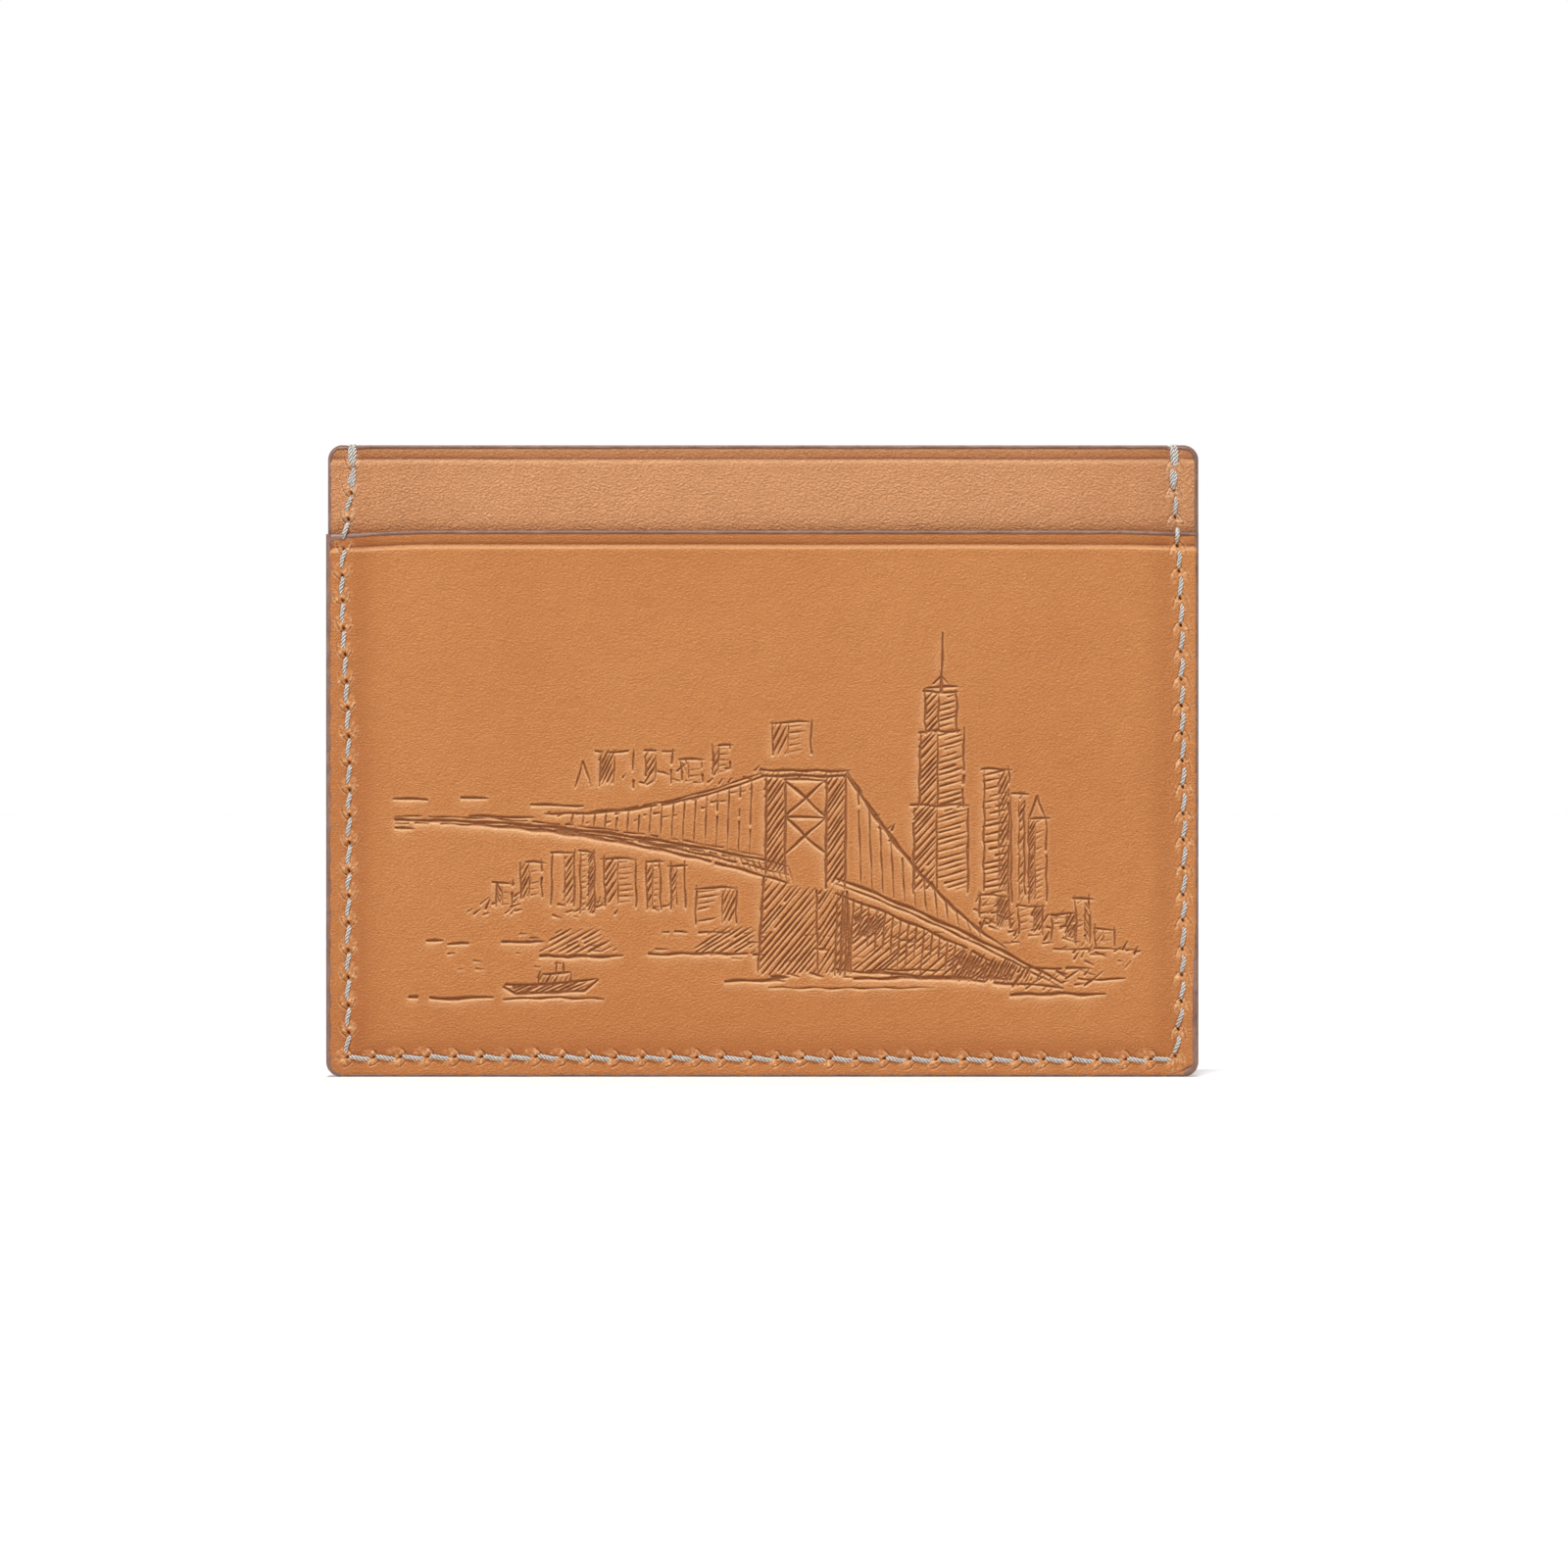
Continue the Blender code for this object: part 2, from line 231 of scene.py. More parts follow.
class Relief:
    """A face on a grid of fine cells: its depth below its plane, and its four marks.

    burnish darkens strongly: burnt by heat under the strokes and along the crease, and painted shade in the
    folds, the wrinkles and the crease's groove. rub darkens a little, partly as painted shade; hole is the
    awl's slit, painted near black as the shade in it; and stretch is paler, partly as painted highlights."""

    def __init__(self, top):
        self.top = top
        self.cols = int(round(WIDTH / CELL / COARSEST)) * COARSEST
        self.rows = int(round(top / CELL / COARSEST)) * COARSEST
        grid_x = np.linspace(-WIDTH / 2, WIDTH / 2, self.cols + 1)
        grid_z = np.linspace(0, top, self.rows + 1)
        self.x, self.z = round_corners(*np.meshgrid(grid_x, grid_z), top)
        self.edge = edge_distance(self.x, self.z, top)
        blank = [np.zeros_like(self.x) for _ in range(5)]
        self.depth, self.burnish, self.rub, self.hole, self.stretch = blank

    def window(self, x, z, reach):
        """The part of the grid within reach of a point, and its x and z there."""
        col = (x + WIDTH / 2) / WIDTH * self.cols
        row = z / self.top * self.rows
        span = reach / CELL + 1
        cols = slice(max(0, int(col - span)), max(0, int(col + span) + 2))
        rows = slice(max(0, int(row - span)), max(0, int(row + span) + 2))
        return (rows, cols), self.x[rows, cols], self.z[rows, cols]


def smooth_noise(relief, scale, seed):
    """Even random waves, scale millimetres long, over a relief's grid."""
    draw = random.Random(seed)
    total = np.zeros_like(relief.x)
    for _ in range(14):
        angle, phase = draw.uniform(0, math.tau), draw.uniform(0, math.tau)
        length = scale * draw.uniform(0.7, 1.6)
        along = relief.x * math.cos(angle) + relief.z * math.sin(angle)
        total += np.sin(along * math.tau / length + phase)
    return total / 14


def blurred(field, radius):
    """A soft copy of a field, averaged over a radius in millimetres."""
    reach = max(1, int(radius / CELL / 2))
    for _ in range(3):
        for axis in (0, 1):
            padded = np.pad(field, [(reach + 1, reach) if a == axis else (0, 0) for a in (0, 1)], "edge")
            total = np.cumsum(padded, axis=axis)
            size = field.shape[axis]
            width = 2 * reach + 1
            high = np.take(total, range(width, width + size), axis=axis)
            field = (high - np.take(total, range(size), axis=axis)) / width
    return field


def from_line(x, z, start, end):
    """How far points are from a straight line, and how far along it the nearest spot is."""
    dx, dz = end[0] - start[0], end[1] - start[1]
    share = np.clip(((x - start[0]) * dx + (z - start[1]) * dz) / (dx * dx + dz * dz + 1e-9), 0, 1)
    return np.hypot(x - start[0] - dx * share, z - start[1] - dz * share), share


def folds(in_bottom_row, size, draw):
    """The lines the leather folds along at a hole, as (s, t) points from it."""
    if in_bottom_row:
        arch = []
        for degrees in (8, 26, 44, 62):
            angle = math.radians(degrees)
            arch.append((-0.46 + 1.14 * size * math.cos(angle), 0.05 + 1.1 * size * math.sin(angle)))
        return [arch, [(-0.35, -1.1 * size), (0.2, -0.9 * size), (0.74, -0.36)]]
    arms = []
    for way in (-1, 1):
        spread = way * draw.uniform(0.8, 1.15)
        rest = [(s, t * spread) for s, t in ((0.34, 0.58), (-0.2, 0.9), (-0.85, 1.02))]
        arms.append([(0.64, 0.15 * way)] + rest)
    return arms


def sew(relief, low_z, high_z):
    """The trough along the seam, and at each hole a slit, a blister behind it and the folds round that."""
    for k, (hole, along, inwards) in enumerate(HOLES):
        if not low_z < hole.y < high_z:
            continue
        where, x, z = relief.window(hole.x, hole.y, 3.4)
        s = (x - hole.x) * along.x + (z - hole.y) * along.y
        t = (x - hole.x) * inwards.x + (z - hole.y) * inwards.y
        draw = random.Random(100 + k)
        size = draw.uniform(0.85, 1.12)
        in_bottom_row = along.y == 0
        depth = relief.depth[where]
        # The leather swells into a blister between two stitches, with a wrinkled rim
        u, v = (s + 0.45 * size) / (1.08 * size), (t - 0.05) / (1.05 * size)
        radius, angle = np.hypot(u, v), np.arctan2(v, u)
        wrinkle = np.sin(7 * angle + draw.uniform(0, 6)) + np.sin(11 * angle + draw.uniform(0, 6))
        dome = np.clip(1 - radius**3, 0, 1)
        ring = smooth(0.3, 0.75, radius) * smooth(1.1, 0.9, radius)
        depth -= draw.uniform(0.08, 0.12) * dome + 0.014 * wrinkle * ring
        relief.stretch[where] += draw.uniform(0.15, 0.32) * ring * np.clip(0.45 + 0.5 * wrinkle, 0, 1.2)
        # The folds where the blister stops: each is sunk and darkened as painted shade, with a painted
        # highlight band beside it
        fade = smooth(1.75, 0.7, np.hypot(s, t))
        for line in folds(in_bottom_row, size, draw):
            fold = np.zeros_like(s)
            painted_highlight_band = np.zeros_like(s)
            for start, end in zip(line, line[1:]):
                fold = np.maximum(fold, bump(from_line(s, t, start, end)[0], 0.065))
                painted_highlight_band = np.maximum(painted_highlight_band, bump(from_line(s + 0.14 * inwards.y, t + 0.14, start, end)[0], 0.08))
            depth += 0.14 * fold * fade
            relief.burnish[where] += (0.44 if in_bottom_row else 0.3) * fold * fade
            relief.stretch[where] += 0.45 * painted_highlight_band * fade * (1 - fold)
        # The fibres that the awl tore pale, in a fan behind the hole
        torn = 0.85 if in_bottom_row else 0.6
        for _ in range(9):
            turn = math.radians(draw.uniform(95, 265))
            near = draw.uniform(0.25, 0.7)
            far = near + draw.uniform(0.15, 0.4)
            bend = turn + draw.uniform(-0.3, 0.3)
            start = (near * math.cos(turn) + 0.1, near * math.sin(turn))
            end = (far * math.cos(bend) + 0.1, far * math.sin(bend))
            fibre = bump(from_line(s, t, start, end)[0], 0.07)
            relief.stretch[where] += torn * draw.uniform(0.4, 1.0) * fibre
        # The thread pulls the leather down along each stitch
        stitch = smooth(-0.1, 0.4, s) * smooth(3.0, 2.5, s)
        depth += 0.13 * stitch * bump(t + 0.05 * (s - 1.5), 0.3)
        before = smooth(-0.35, -0.75, s) * smooth(-1.5, -1.2, s)
        depth += 0.1 * before * bump(t + 0.1, 0.24)
        # The awl's slit at the start of the stitch, its pit painted near black as the shade in it
        pit = bump(s - 0.14, 0.25) * bump(t - 0.06 - 0.35 * (s - 0.14), 0.13)
        depth += 0.5 * pit
        relief.hole[where] = np.maximum(relief.hole[where], smooth(0.3, 0.8, pit) * draw.uniform(0.55, 1.0))
        relief.rub[where] += 0.2 * bump(np.hypot(s - 0.2, t), 0.5)
    trough = np.abs(np.abs(relief.x) - SEAM_X)
    bottom = np.where(np.abs(relief.x) < SEAM_X, np.abs(relief.z - SEAM_BOTTOM), WIDTH)
    near = np.minimum(np.where(relief.z > SEAM_BOTTOM, trough, WIDTH), bottom)
    shown = smooth(low_z - 0.5, low_z + 0.5, relief.z) if low_z > 0 else 1.0
    relief.depth += 0.07 * bump(near, 1.0) * shown


def crease(relief, painted_shine):
    """The heated line pressed along the top edge, and the rounded band above it, with a painted highlight
    along the rise below the line.
    """
    below = relief.top - relief.z + 0.06 * smooth_noise(relief, 30, 5)
    at_seam = bump(np.abs(relief.x) - SEAM_X, 1.0)
    shown = 1 - 0.5 * at_seam
    band = np.clip(below / 1.27, 0, 1)
    relief.depth += 0.2 * band**2.2 * smooth(1.82, 1.22, below) * shown
    relief.depth -= 0.045 * bump(below - 2.1, 0.4) * shown
    # The line is burnt dark by the heat, and darkened more as painted shade in its groove
    line = 0.6 * bump(below - CREASE_DROP, 0.12)
    soft = 0.1 * smooth(0.7, 1.2, below) * smooth(1.6, 1.3, below)
    relief.burnish += (line + soft) * shown
    relief.rub += 0.7 * smooth(1.5, 1.15, below) * shown
    # Painted highlight along the rise below the line
    relief.stretch += painted_shine * bump(below - 1.74, 0.13) * shown * (1 + 0.5 * smooth_noise(relief, 9, 6))


def paint_slope_light(relief):
    """Paints light and shade by slope: slopes that face up are painted paler as a highlight, and those that
    face down are painted darker as shade.
    """
    along_z, along_x = np.gradient(relief.depth, CELL)
    slope = 0.92 * along_z - 0.38 * along_x
    relief.stretch += 0.5 * np.clip(slope - 0.08, 0, 1.0)
    relief.rub += 0.6 * np.clip(-slope, 0, 1.2)


def round_over(relief):
    """Rounds the rim that the paint covers."""
    inside = np.minimum(relief.edge, relief.top - relief.z)
    share = np.clip(1 - inside / ROUND_OVER, 0, 1)
    relief.depth += ROUND_DEPTH * (1 - np.sqrt(1 - 0.98 * share**2))


def pillow(relief):
    """Sinks the face towards the seam, where the layers are pulled together, and paints shade on the slope
    down to it.
    """
    side = WIDTH / 2 - np.abs(relief.x)
    inside = np.minimum(side, relief.z * 1.3)
    relief.depth += PILLOW * smooth(PILLOW_REACH, 1.5, inside)
    relief.rub += 0.55 * bump(inside - 3.9, 1.5) * smooth(1.2, 2.4, inside)


# ---- the pressed drawing


def rectangle(x, z, width, height):
    """Its corners in turn."""
    return [(x, z), (x + width, z), (x + width, z + height), (x, z + height)]


class Sketch:
    """A loose pen drawing: strokes of (x, z, half width), with a shaky hand that is the same each run."""

    def __init__(self, seed):
        self.draw = random.Random(seed)
        self.strokes = []

    def pen(self, points, weight=1.0, shake=0.07, gaps=0.0):
        """One stroke through the points. gaps is the chance that the pen skips a little way."""
        route = [Vector(p) for p in points]
        walked = []
        phase, speed = self.draw.uniform(0, math.tau), self.draw.uniform(0.9, 1.7)
        for a, b in zip(route, route[1:]):
            steps = max(1, int((b - a).length / 0.7))
            walked += [a.lerp(b, i / steps) for i in range(steps)]
        walked.append(route[-1])
        stroke = []
        for i, p in enumerate(walked):
            share = i / max(1, len(walked) - 1)
            taper = 0.45 + 0.55 * math.sin(math.pi * min(1.0, 0.12 + share * 0.88)) ** 0.5
            heavy = 1 + 0.22 * math.sin(phase + i * speed)
            wave = shake * math.sin(phase + i * speed * 0.8)
            aside = wave * 0.6 + self.draw.gauss(0, shake * 0.25)
            up = wave + self.draw.gauss(0, shake * 0.25)
            at = p + Vector((aside, up))
            stroke.append((at.x, at.y, PEN_HALF * weight * taper * heavy))
            if gaps and self.draw.random() < gaps:
                self.keep(stroke)
                stroke = []
        self.keep(stroke)

    def keep(self, stroke):
        if len(stroke) > 1:
            self.strokes.append(stroke)

    def hatch(self, corners, angle, gap, weight=0.8, gaps=0.0, loose=0.3):
        """Parallel strokes across a convex patch, given by its corners in turn."""
        corners = [Vector(c) for c in corners]
        way = Vector((math.cos(math.radians(angle)), math.sin(math.radians(angle))))
        normal = Vector((-way.y, way.x))
        levels = [c.dot(normal) for c in corners]
        level = min(levels) + gap * 0.6
        while level < max(levels) - gap * 0.2:
            cuts = []
            for a, b in zip(corners, corners[1:] + corners[:1]):
                da, db = a.dot(normal) - level, b.dot(normal) - level
                if da * db < 0:
                    cuts.append(a.lerp(b, da / (da - db)))
            if len(cuts) == 2:
                cuts.sort(key=lambda c: c.dot(way))
                start = cuts[0] + way * self.draw.uniform(-loose, loose)
                end = cuts[1] + way * self.draw.uniform(-loose, loose)
                if (end - start).dot(way) > 0.3:
                    self.pen([start, end], weight * self.draw.uniform(0.75, 1.2), 0.04, gaps)
            level += gap * self.draw.uniform(0.7, 1.35)

    def scrub(self, corners, count, length):
        """Short quick strokes, scattered over a patch with four corners."""
        a, b, c, d = (Vector(corner) for corner in corners)
        for _ in range(count):
            u, v = self.draw.random(), self.draw.random()
            at = a.lerp(b, u).lerp(d.lerp(c, u), v)
            angle = math.radians(self.draw.choice((35, 48, 60, -20, 8)) + self.draw.uniform(-8, 8))
            way = Vector((math.cos(angle), math.sin(angle))) * length * self.draw.uniform(0.4, 1.0)
            self.pen([at, at + way], self.draw.uniform(0.75, 1.2), 0.04)

    def box(self, x, z, width, height, weight=1.0, over=0.5):
        """A block's outline, open at its foot, whose lines run past its corners."""

        def past():
            return self.draw.uniform(0, over)

        lean = self.draw.uniform(-0.15, 0.15)
        right, top = x + width, z + height
        self.pen([(x, z - past()), (x + lean, top + past())], weight, 0.1, 0.05)
        self.pen([(right, z - past()), (right + lean, top + past())], weight, 0.1, 0.08)
        self.pen([(x - past(), top), (right + past(), top + lean)], weight, 0.1, 0.05)

    def block(self, x, z, width, height, shade):
        """A city block: an outline, one shaded side and, on most, rows of windows on the other."""
        weight = 0.9
        self.box(x, z, width, height, weight)
        side = width * self.draw.uniform(0.3, 0.45)
        left = self.draw.random() < 0.5
        dark = x if left else x + width - side
        fold = dark + (side if left else 0)
        self.pen([(fold, z), (fold, z + height)], weight * 0.7)
        self.hatch(rectangle(dark, z, side, height), self.draw.choice((58, 64, -62)), 0.42 / shade, weight)
        light = x + side if left else x
        tilt = self.draw.uniform(-0.1, 0.35)
        if self.draw.random() >= 0.8:
            return
        rows = int(height / 0.62)
        for i in range(rows):
            if self.draw.random() < 0.8:
                level = z + height - (i + 0.7) * height / rows
                end = light + (width - side) * self.draw.uniform(0.55, 0.95)
                self.pen([(light + 0.2, level), (end, level + tilt)], weight * 0.75, 0.03)


def deck_top(x):
    """The bridge deck's upper line: level far off at the left, and falling away past the tower."""
    if x < 8:
        return 29.4 - 0.0026 * (x + 42) ** 2
    return 22.9 - 0.37 * (x - 8) - 0.0035 * (x - 8) ** 2


def deck_depth(x):
    if x < 8:
        return 0.25 + 1.9 * ((x + 42) / 47) ** 2
    return deck_top(x) - 12.3 + 0.08 * (x - 8)


def deck_foot(x):
    return deck_top(x) - deck_depth(x)


def cable(x, rise=0.0, far=True):
    """The level of the far or the near cable, from the tower's head, or rise above it, to its own bank."""
    tower_x, end_x, end_z, sag = (0.2, -27, 30.2, 1.5) if far else (9.8, 28, 14.6, 2.2)
    tower_z = TOWER_HEAD + rise
    share = (x - tower_x) / (end_x - tower_x)
    return tower_z + (end_z - tower_z) * share - sag * 4 * share * (1 - share)


def draw_bridge(art):
    """A plain suspension bridge seen from below: one portal tower with crossed braces, deck and cables."""
    steps = [-42 + i * 1.5 for i in range(32)]
    for shift, weight, gaps in ((0.0, 1.5, 0.02), (-0.35, 0.8, 0.1), (0.45, 0.7, 0.14)):
        art.pen([(x, deck_top(x) + shift) for x in steps if x < 4.5], weight, 0.05, gaps)
    art.pen([(x, deck_foot(x)) for x in steps if -34 < x < 4.5], 1.5, 0.05, 0.02)
    art.pen([(x, deck_top(x) - 0.55 * deck_depth(x)) for x in steps if -26 < x < 4.5], 1.1, 0.05, 0.12)
    for x, z, length in (
        (-42.2, 31.9, 4.6), (-42.0, 28.5, 2.2), (-35.2, 32.0, 3.8), (-33.5, 29.9, 7.5), (-26.5, 31.2, 6.0)
    ):
        art.pen([(x, z), (x + length, z - 0.035 * length)], 1.1, 0.04, 0.06)
    for i in range(22):
        x = -24.5 + i * 1.1
        level = cable(x) + art.draw.uniform(-0.9, 0.9) - 0.6
        art.pen([(x, level), (x + art.draw.uniform(0.3, 0.9), level + 0.1)], 1.0, 0.03)
    for i in range(34):
        x = -20 + i * 0.7
        art.pen([(x, deck_top(x) - 0.3), (x + 0.5, deck_top(x + 0.5) - deck_depth(x) + 0.1)], 0.7, 0.02)
    # The near span: its road, then its underside, darkest where it meets the tower and the far bank
    steps = [8.5 + i * 1.3 for i in range(21)]
    art.pen([(x, deck_top(x)) for x in steps], 1.5, 0.06)
    art.pen([(x, deck_top(x) - 0.6) for x in steps], 0.9, 0.05, 0.04)
    art.pen([(x, deck_top(x) - 1.7) for x in steps[:15]], 1.2, 0.07, 0.03)
    art.pen([(x, deck_foot(x)) for x in steps], 1.3, 0.08, 0.04)
    for i in range(26):
        x = 9.6 + i * 0.9
        top, low = deck_top(x) - 1.7, deck_foot(x)
        if top - low > 0.7:
            reach = art.draw.uniform(0.55, 1.0)
            art.pen([(x, top), (x - 0.5 * reach, top - (top - low) * reach)], 0.9, 0.05)
    for start, end, gap in ((10.4, 15.5, 0.52), (15.0, 22.0, 0.66), (21.5, 33.0, 0.42)):
        quad = [(start, deck_foot(start)), (end, deck_foot(end))]
        quad += [(end, deck_top(end) - 1.9), (start, deck_top(start) - 1.9)]
        art.hatch(quad, 40, gap, 0.85, 0.05)
    art.hatch([(10.6, 16.4), (14.6, 16.2), (14.2, 18.0), (10.6, 19.0)], 56, 0.34, 1.1, 0.03)
    art.hatch([(22, 11.6), (31, 11.0), (31, 12.6), (22, 14.4)], 62, 0.36, 1.1, 0.05)
    # The tower: two legs, cross braces, a cap, and the pier under the deck
    foot, head = TOWER_FOOT, TOWER_HEAD
    for x in (0.4, 7.3):
        for dx in (0.0, 2.2):
            art.pen([(x + dx, deck_top(x) - 1.5), (x + dx + 0.1, head)], 1.25, 0.05)
        level = deck_top(x) - 1
        art.hatch(rectangle(x, level, 2.2, head - level), 56, 0.46, 1.0)
    art.pen([(0.0, head + 0.1), (9.9, head)], 1.4)
    art.pen([(-0.2, head + 0.7), (10.0, head + 0.6)], 1.2)
    art.pen([(-0.2, head + 0.7), (0.0, head)], 1.0)
    art.hatch(rectangle(0, head, 9.8, 0.7), 60, 0.5, 0.8)
    for low, high in ((25.6, 29.6), (29.9, 33.9)):
        art.pen([(2.7, low), (7.2, high)], 1.2)
        art.pen([(2.7, high), (7.2, low)], 1.2)
        art.pen([(2.6, high + 0.15), (7.3, high + 0.1)], 1.1)
    left, middle, right = deck_top(0) - 2, deck_top(6) - 2, deck_top(9.7) - 1
    art.pen([(0.2, left), (-0.5, foot)], 1.3)
    art.pen([(9.7, right), (10.2, foot)], 1.3)
    art.pen([(6.2, middle), (6.4, foot)], 1.0)
    art.hatch([(-0.4, foot), (6.3, foot), (6.2, middle), (0.2, left)], 50, 0.56, 0.95, 0.02)
    art.hatch([(6.5, foot), (9.9, foot), (9.7, right), (6.4, middle)], 57, 0.5, 0.9, 0.05)
    art.hatch([(8.2, foot), (10.1, foot), (9.8, right), (8.3, deck_top(8) - 2)], 88, 0.45, 1.1, 0.02)
    for _ in range(9):
        x = -0.6 + art.draw.uniform(0, 10.6)
        start = (x, foot - art.draw.uniform(0, 1.0))
        art.pen([start, (x + art.draw.uniform(0.8, 2.4), foot - 0.5)], 1.0, 0.05)
    # The main cables and their hangers
    for rise in (0.0, 0.5):
        art.pen([(x, cable(x, rise)) for x in (0.2, -5, -10, -15, -20, -25)], 1.1 - rise * 0.6, 0.05, 0.04)
    for i in range(17):
        x = -1.2 - i * 1.28
        art.pen([(x, cable(x)), (x - 0.25, deck_top(x) + 0.3)], 0.75, 0.03, 0.05)
    for rise in (0.0, 0.45):
        down = [(x, cable(x, rise, far=False)) for x in (9.8, 13, 16, 19, 22, 25, 28)]
        art.pen(down, 1.15 - rise * 0.6, 0.06, 0.02)
    for i in range(12):
        x = 11 + i * 1.25
        art.pen([(x, cable(x, far=False)), (x + 0.35, deck_top(x) + 0.2)], 0.8, 0.04, 0.04)


def draw_city(art):
    """Plain blocks of many heights, before and behind the bridge, and one stepped tower with a mast.

    Each block is (x, z, width, height, shade)."""
    # Behind the bridge, above its deck
    for values in (
        (-18.6, 33.6, 3.8, 3.6, 1.0), (-13.4, 33.9, 3.0, 3.4, 0.9), (-9.2, 34.2, 2.4, 2.2, 1.0),
        (-5.6, 34.8, 2.0, 3.2, 0.8), (1.2, 37.0, 4.4, 3.6, 0.8),
    ):
        art.block(*values)
    art.pen([(-21.4, 33.2), (-20.5, 36.2), (-19.6, 33.2)], 0.8)
    art.scrub([(-16, 33.4), (0, 33.6), (0, 36.0), (-16, 34.6)], 18, 1.2)
    art.scrub([(-34.5, 18.6), (-28, 18.4), (-26, 20.4), (-31, 21.0)], 14, 1.3)
    art.scrub([(-26, 18.4), (-9, 18.0), (-9, 19.6), (-24, 20.0)], 16, 1.1)
    # Under the far span
    for values in (
        (-30.5, 19.6, 1.9, 2.6, 1.0), (-27.6, 20.6, 2.4, 4.0, 1.1), (-24.2, 19.8, 2.6, 5.8, 0.9),
        (-20.8, 18.9, 1.6, 6.9, 1.6), (-18.0, 19.8, 3.6, 5.2, 0.8), (-13.2, 19.2, 1.6, 5.4, 0.7),
        (-10.4, 19.6, 1.6, 4.6, 1.3), (-7.6, 17.6, 4.6, 4.0, 1.0),
    ):
        art.block(*values)
    # The tall stepped tower
    levels = ((17.4, 21.5, 6.2, 9.6), (18.0, 31.1, 5.0, 8.4), (18.7, 39.5, 3.6, 4.6))
    for x, z, width, height in levels:
        art.box(x, z, width, height, 1.1)
        middle = x + width * 0.42
        art.pen([(middle, z), (middle, z + height)], 0.9, 0.07, 0.06)
        art.hatch(rectangle(x, z, middle - x, height), 48, 0.5, 1.0, 0.05, 0.15)
        light = rectangle(middle + 0.2, z, x + width - middle - 0.2, height)
        art.hatch(light, 16, 0.62, 0.85, 0.12, 0.1)
    art.pen([(20.5, 44.1), (20.6, 46.6)], 1.6)
    art.pen([(20.6, 46.2), (20.7, 50.9)], 1.1, 0.03)
    art.pen([(18.9, 44.6), (22.4, 44.7)], 1.1)
    art.pen([(19.6, 45.0), (20.5, 45.9), (21.5, 45.0)], 0.9)
    # The right bank
    for values in (
        (25.4, 21.0, 2.8, 14.2, 1.1), (28.6, 20.2, 1.5, 12.2, 0.8), (30.6, 20.2, 2.0, 9.4, 1.6),
        (25.0, 17.2, 3.4, 3.6, 1.4), (29.4, 16.6, 2.8, 3.0, 1.3), (33.2, 16.0, 2.6, 2.6, 1.2),
        (36.0, 15.6, 1.6, 4.8, 1.1), (38.2, 15.4, 2.2, 1.6, 0.9),
    ):
        art.block(*values)
    art.hatch(rectangle(25.4, 21, 2.8, 14.2), 12, 0.7, 0.85, 0.12, 0.1)
    art.pen([(30.6, 29.6), (31.5, 32.2), (32.4, 29.6)], 0.9)
    art.scrub([(24.4, 17.0), (29, 15.8), (29.4, 19.6), (24.0, 20.4)], 24, 1.4)
    art.scrub([(30, 15.4), (36, 14.6), (36, 17.6), (31, 19.6)], 26, 1.3)
    art.scrub([(35, 13.0), (42.6, 12.4), (42.8, 14.6), (36, 16.4)], 16, 1.2)
    art.scrub([(11, 30.4), (15, 24.6), (16, 28.8), (13, 33)], 5, 0.8)


def draw_water(art):
    """Ripples, the two shores, and a small work boat."""
    for x, z, length, weight in (
        (-40.4, 9.1, 9.6, 1.5), (-29.6, 8.9, 11.5, 1.0), (-38.4, 15.6, 1.8, 1.2), (-36.0, 15.2, 3.0, 1.0),
        (-29.8, 15.4, 4.8, 1.3), (-13.0, 14.0, 13.5, 1.2), (-11.4, 16.6, 8.4, 0.8), (-4.2, 10.9, 6.8, 1.3),
        (10.6, 11.2, 18.0, 1.5), (12.0, 12.2, 9.0, 0.9), (28.5, 9.4, 10.8, 1.5), (33.4, 14.6, 9.4, 0.8),
        (30.6, 12.4, 7.2, 1.1), (36.2, 11.2, 5.4, 0.9), (-25.4, 13.8, 9.4, 1.5), (0.8, 10.2, 19.0, 0.7),
    ):
        middle = (x + length / 2, z + art.draw.uniform(-0.2, 0.2))
        art.pen([(x, z), middle, (x + length, z)], weight, 0.07, 0.06)
    for _ in range(46):
        x = art.draw.uniform(-36, 40)
        z = 17.2 - 0.02 * abs(x) - art.draw.uniform(0, 4.5)
        art.pen([(x, z), (x + art.draw.uniform(0.4, 1.6), z + art.draw.uniform(-0.15, 0.15))], 0.85, 0.03)
    art.hatch([(-25.5, 14.2), (-16.5, 14.4), (-18.6, 16.8), (-23.2, 16.9)], 28, 0.5, 0.9, 0.05)
    art.hatch([(-8, 14.4), (-0.6, 14.2), (-0.8, 17.2), (-5.4, 17.0)], 32, 0.5, 0.9, 0.05)
    art.scrub([(24, 10.2), (38, 9.8), (39, 12.2), (26, 12.6)], 20, 1.8)
    # The boat: hull, cabin and funnel
    art.pen([(-29.6, 10.3), (-28.2, 9.5), (-20.4, 9.8), (-18.8, 11.1)], 1.5, 0.03)
    art.pen([(-29.4, 10.5), (-24.2, 10.6), (-18.9, 11.2)], 1.1, 0.03)
    art.hatch([(-28.6, 9.6), (-20.2, 9.9), (-19.6, 10.9), (-28.4, 10.6)], 24, 0.32, 1.0)
    art.box(-25.6, 10.6, 3.6, 1.2, 1.0, 0.2)
    art.hatch([(-25.6, 10.6), (-22, 10.7), (-22, 11.8), (-25.6, 11.8)], 62, 0.42, 0.9)
    art.box(-23.6, 11.8, 0.8, 1.2, 1.0, 0.2)


def drawing():
    art = Sketch(4)
    draw_bridge(art)
    draw_city(art)
    draw_water(art)
    return art.strokes


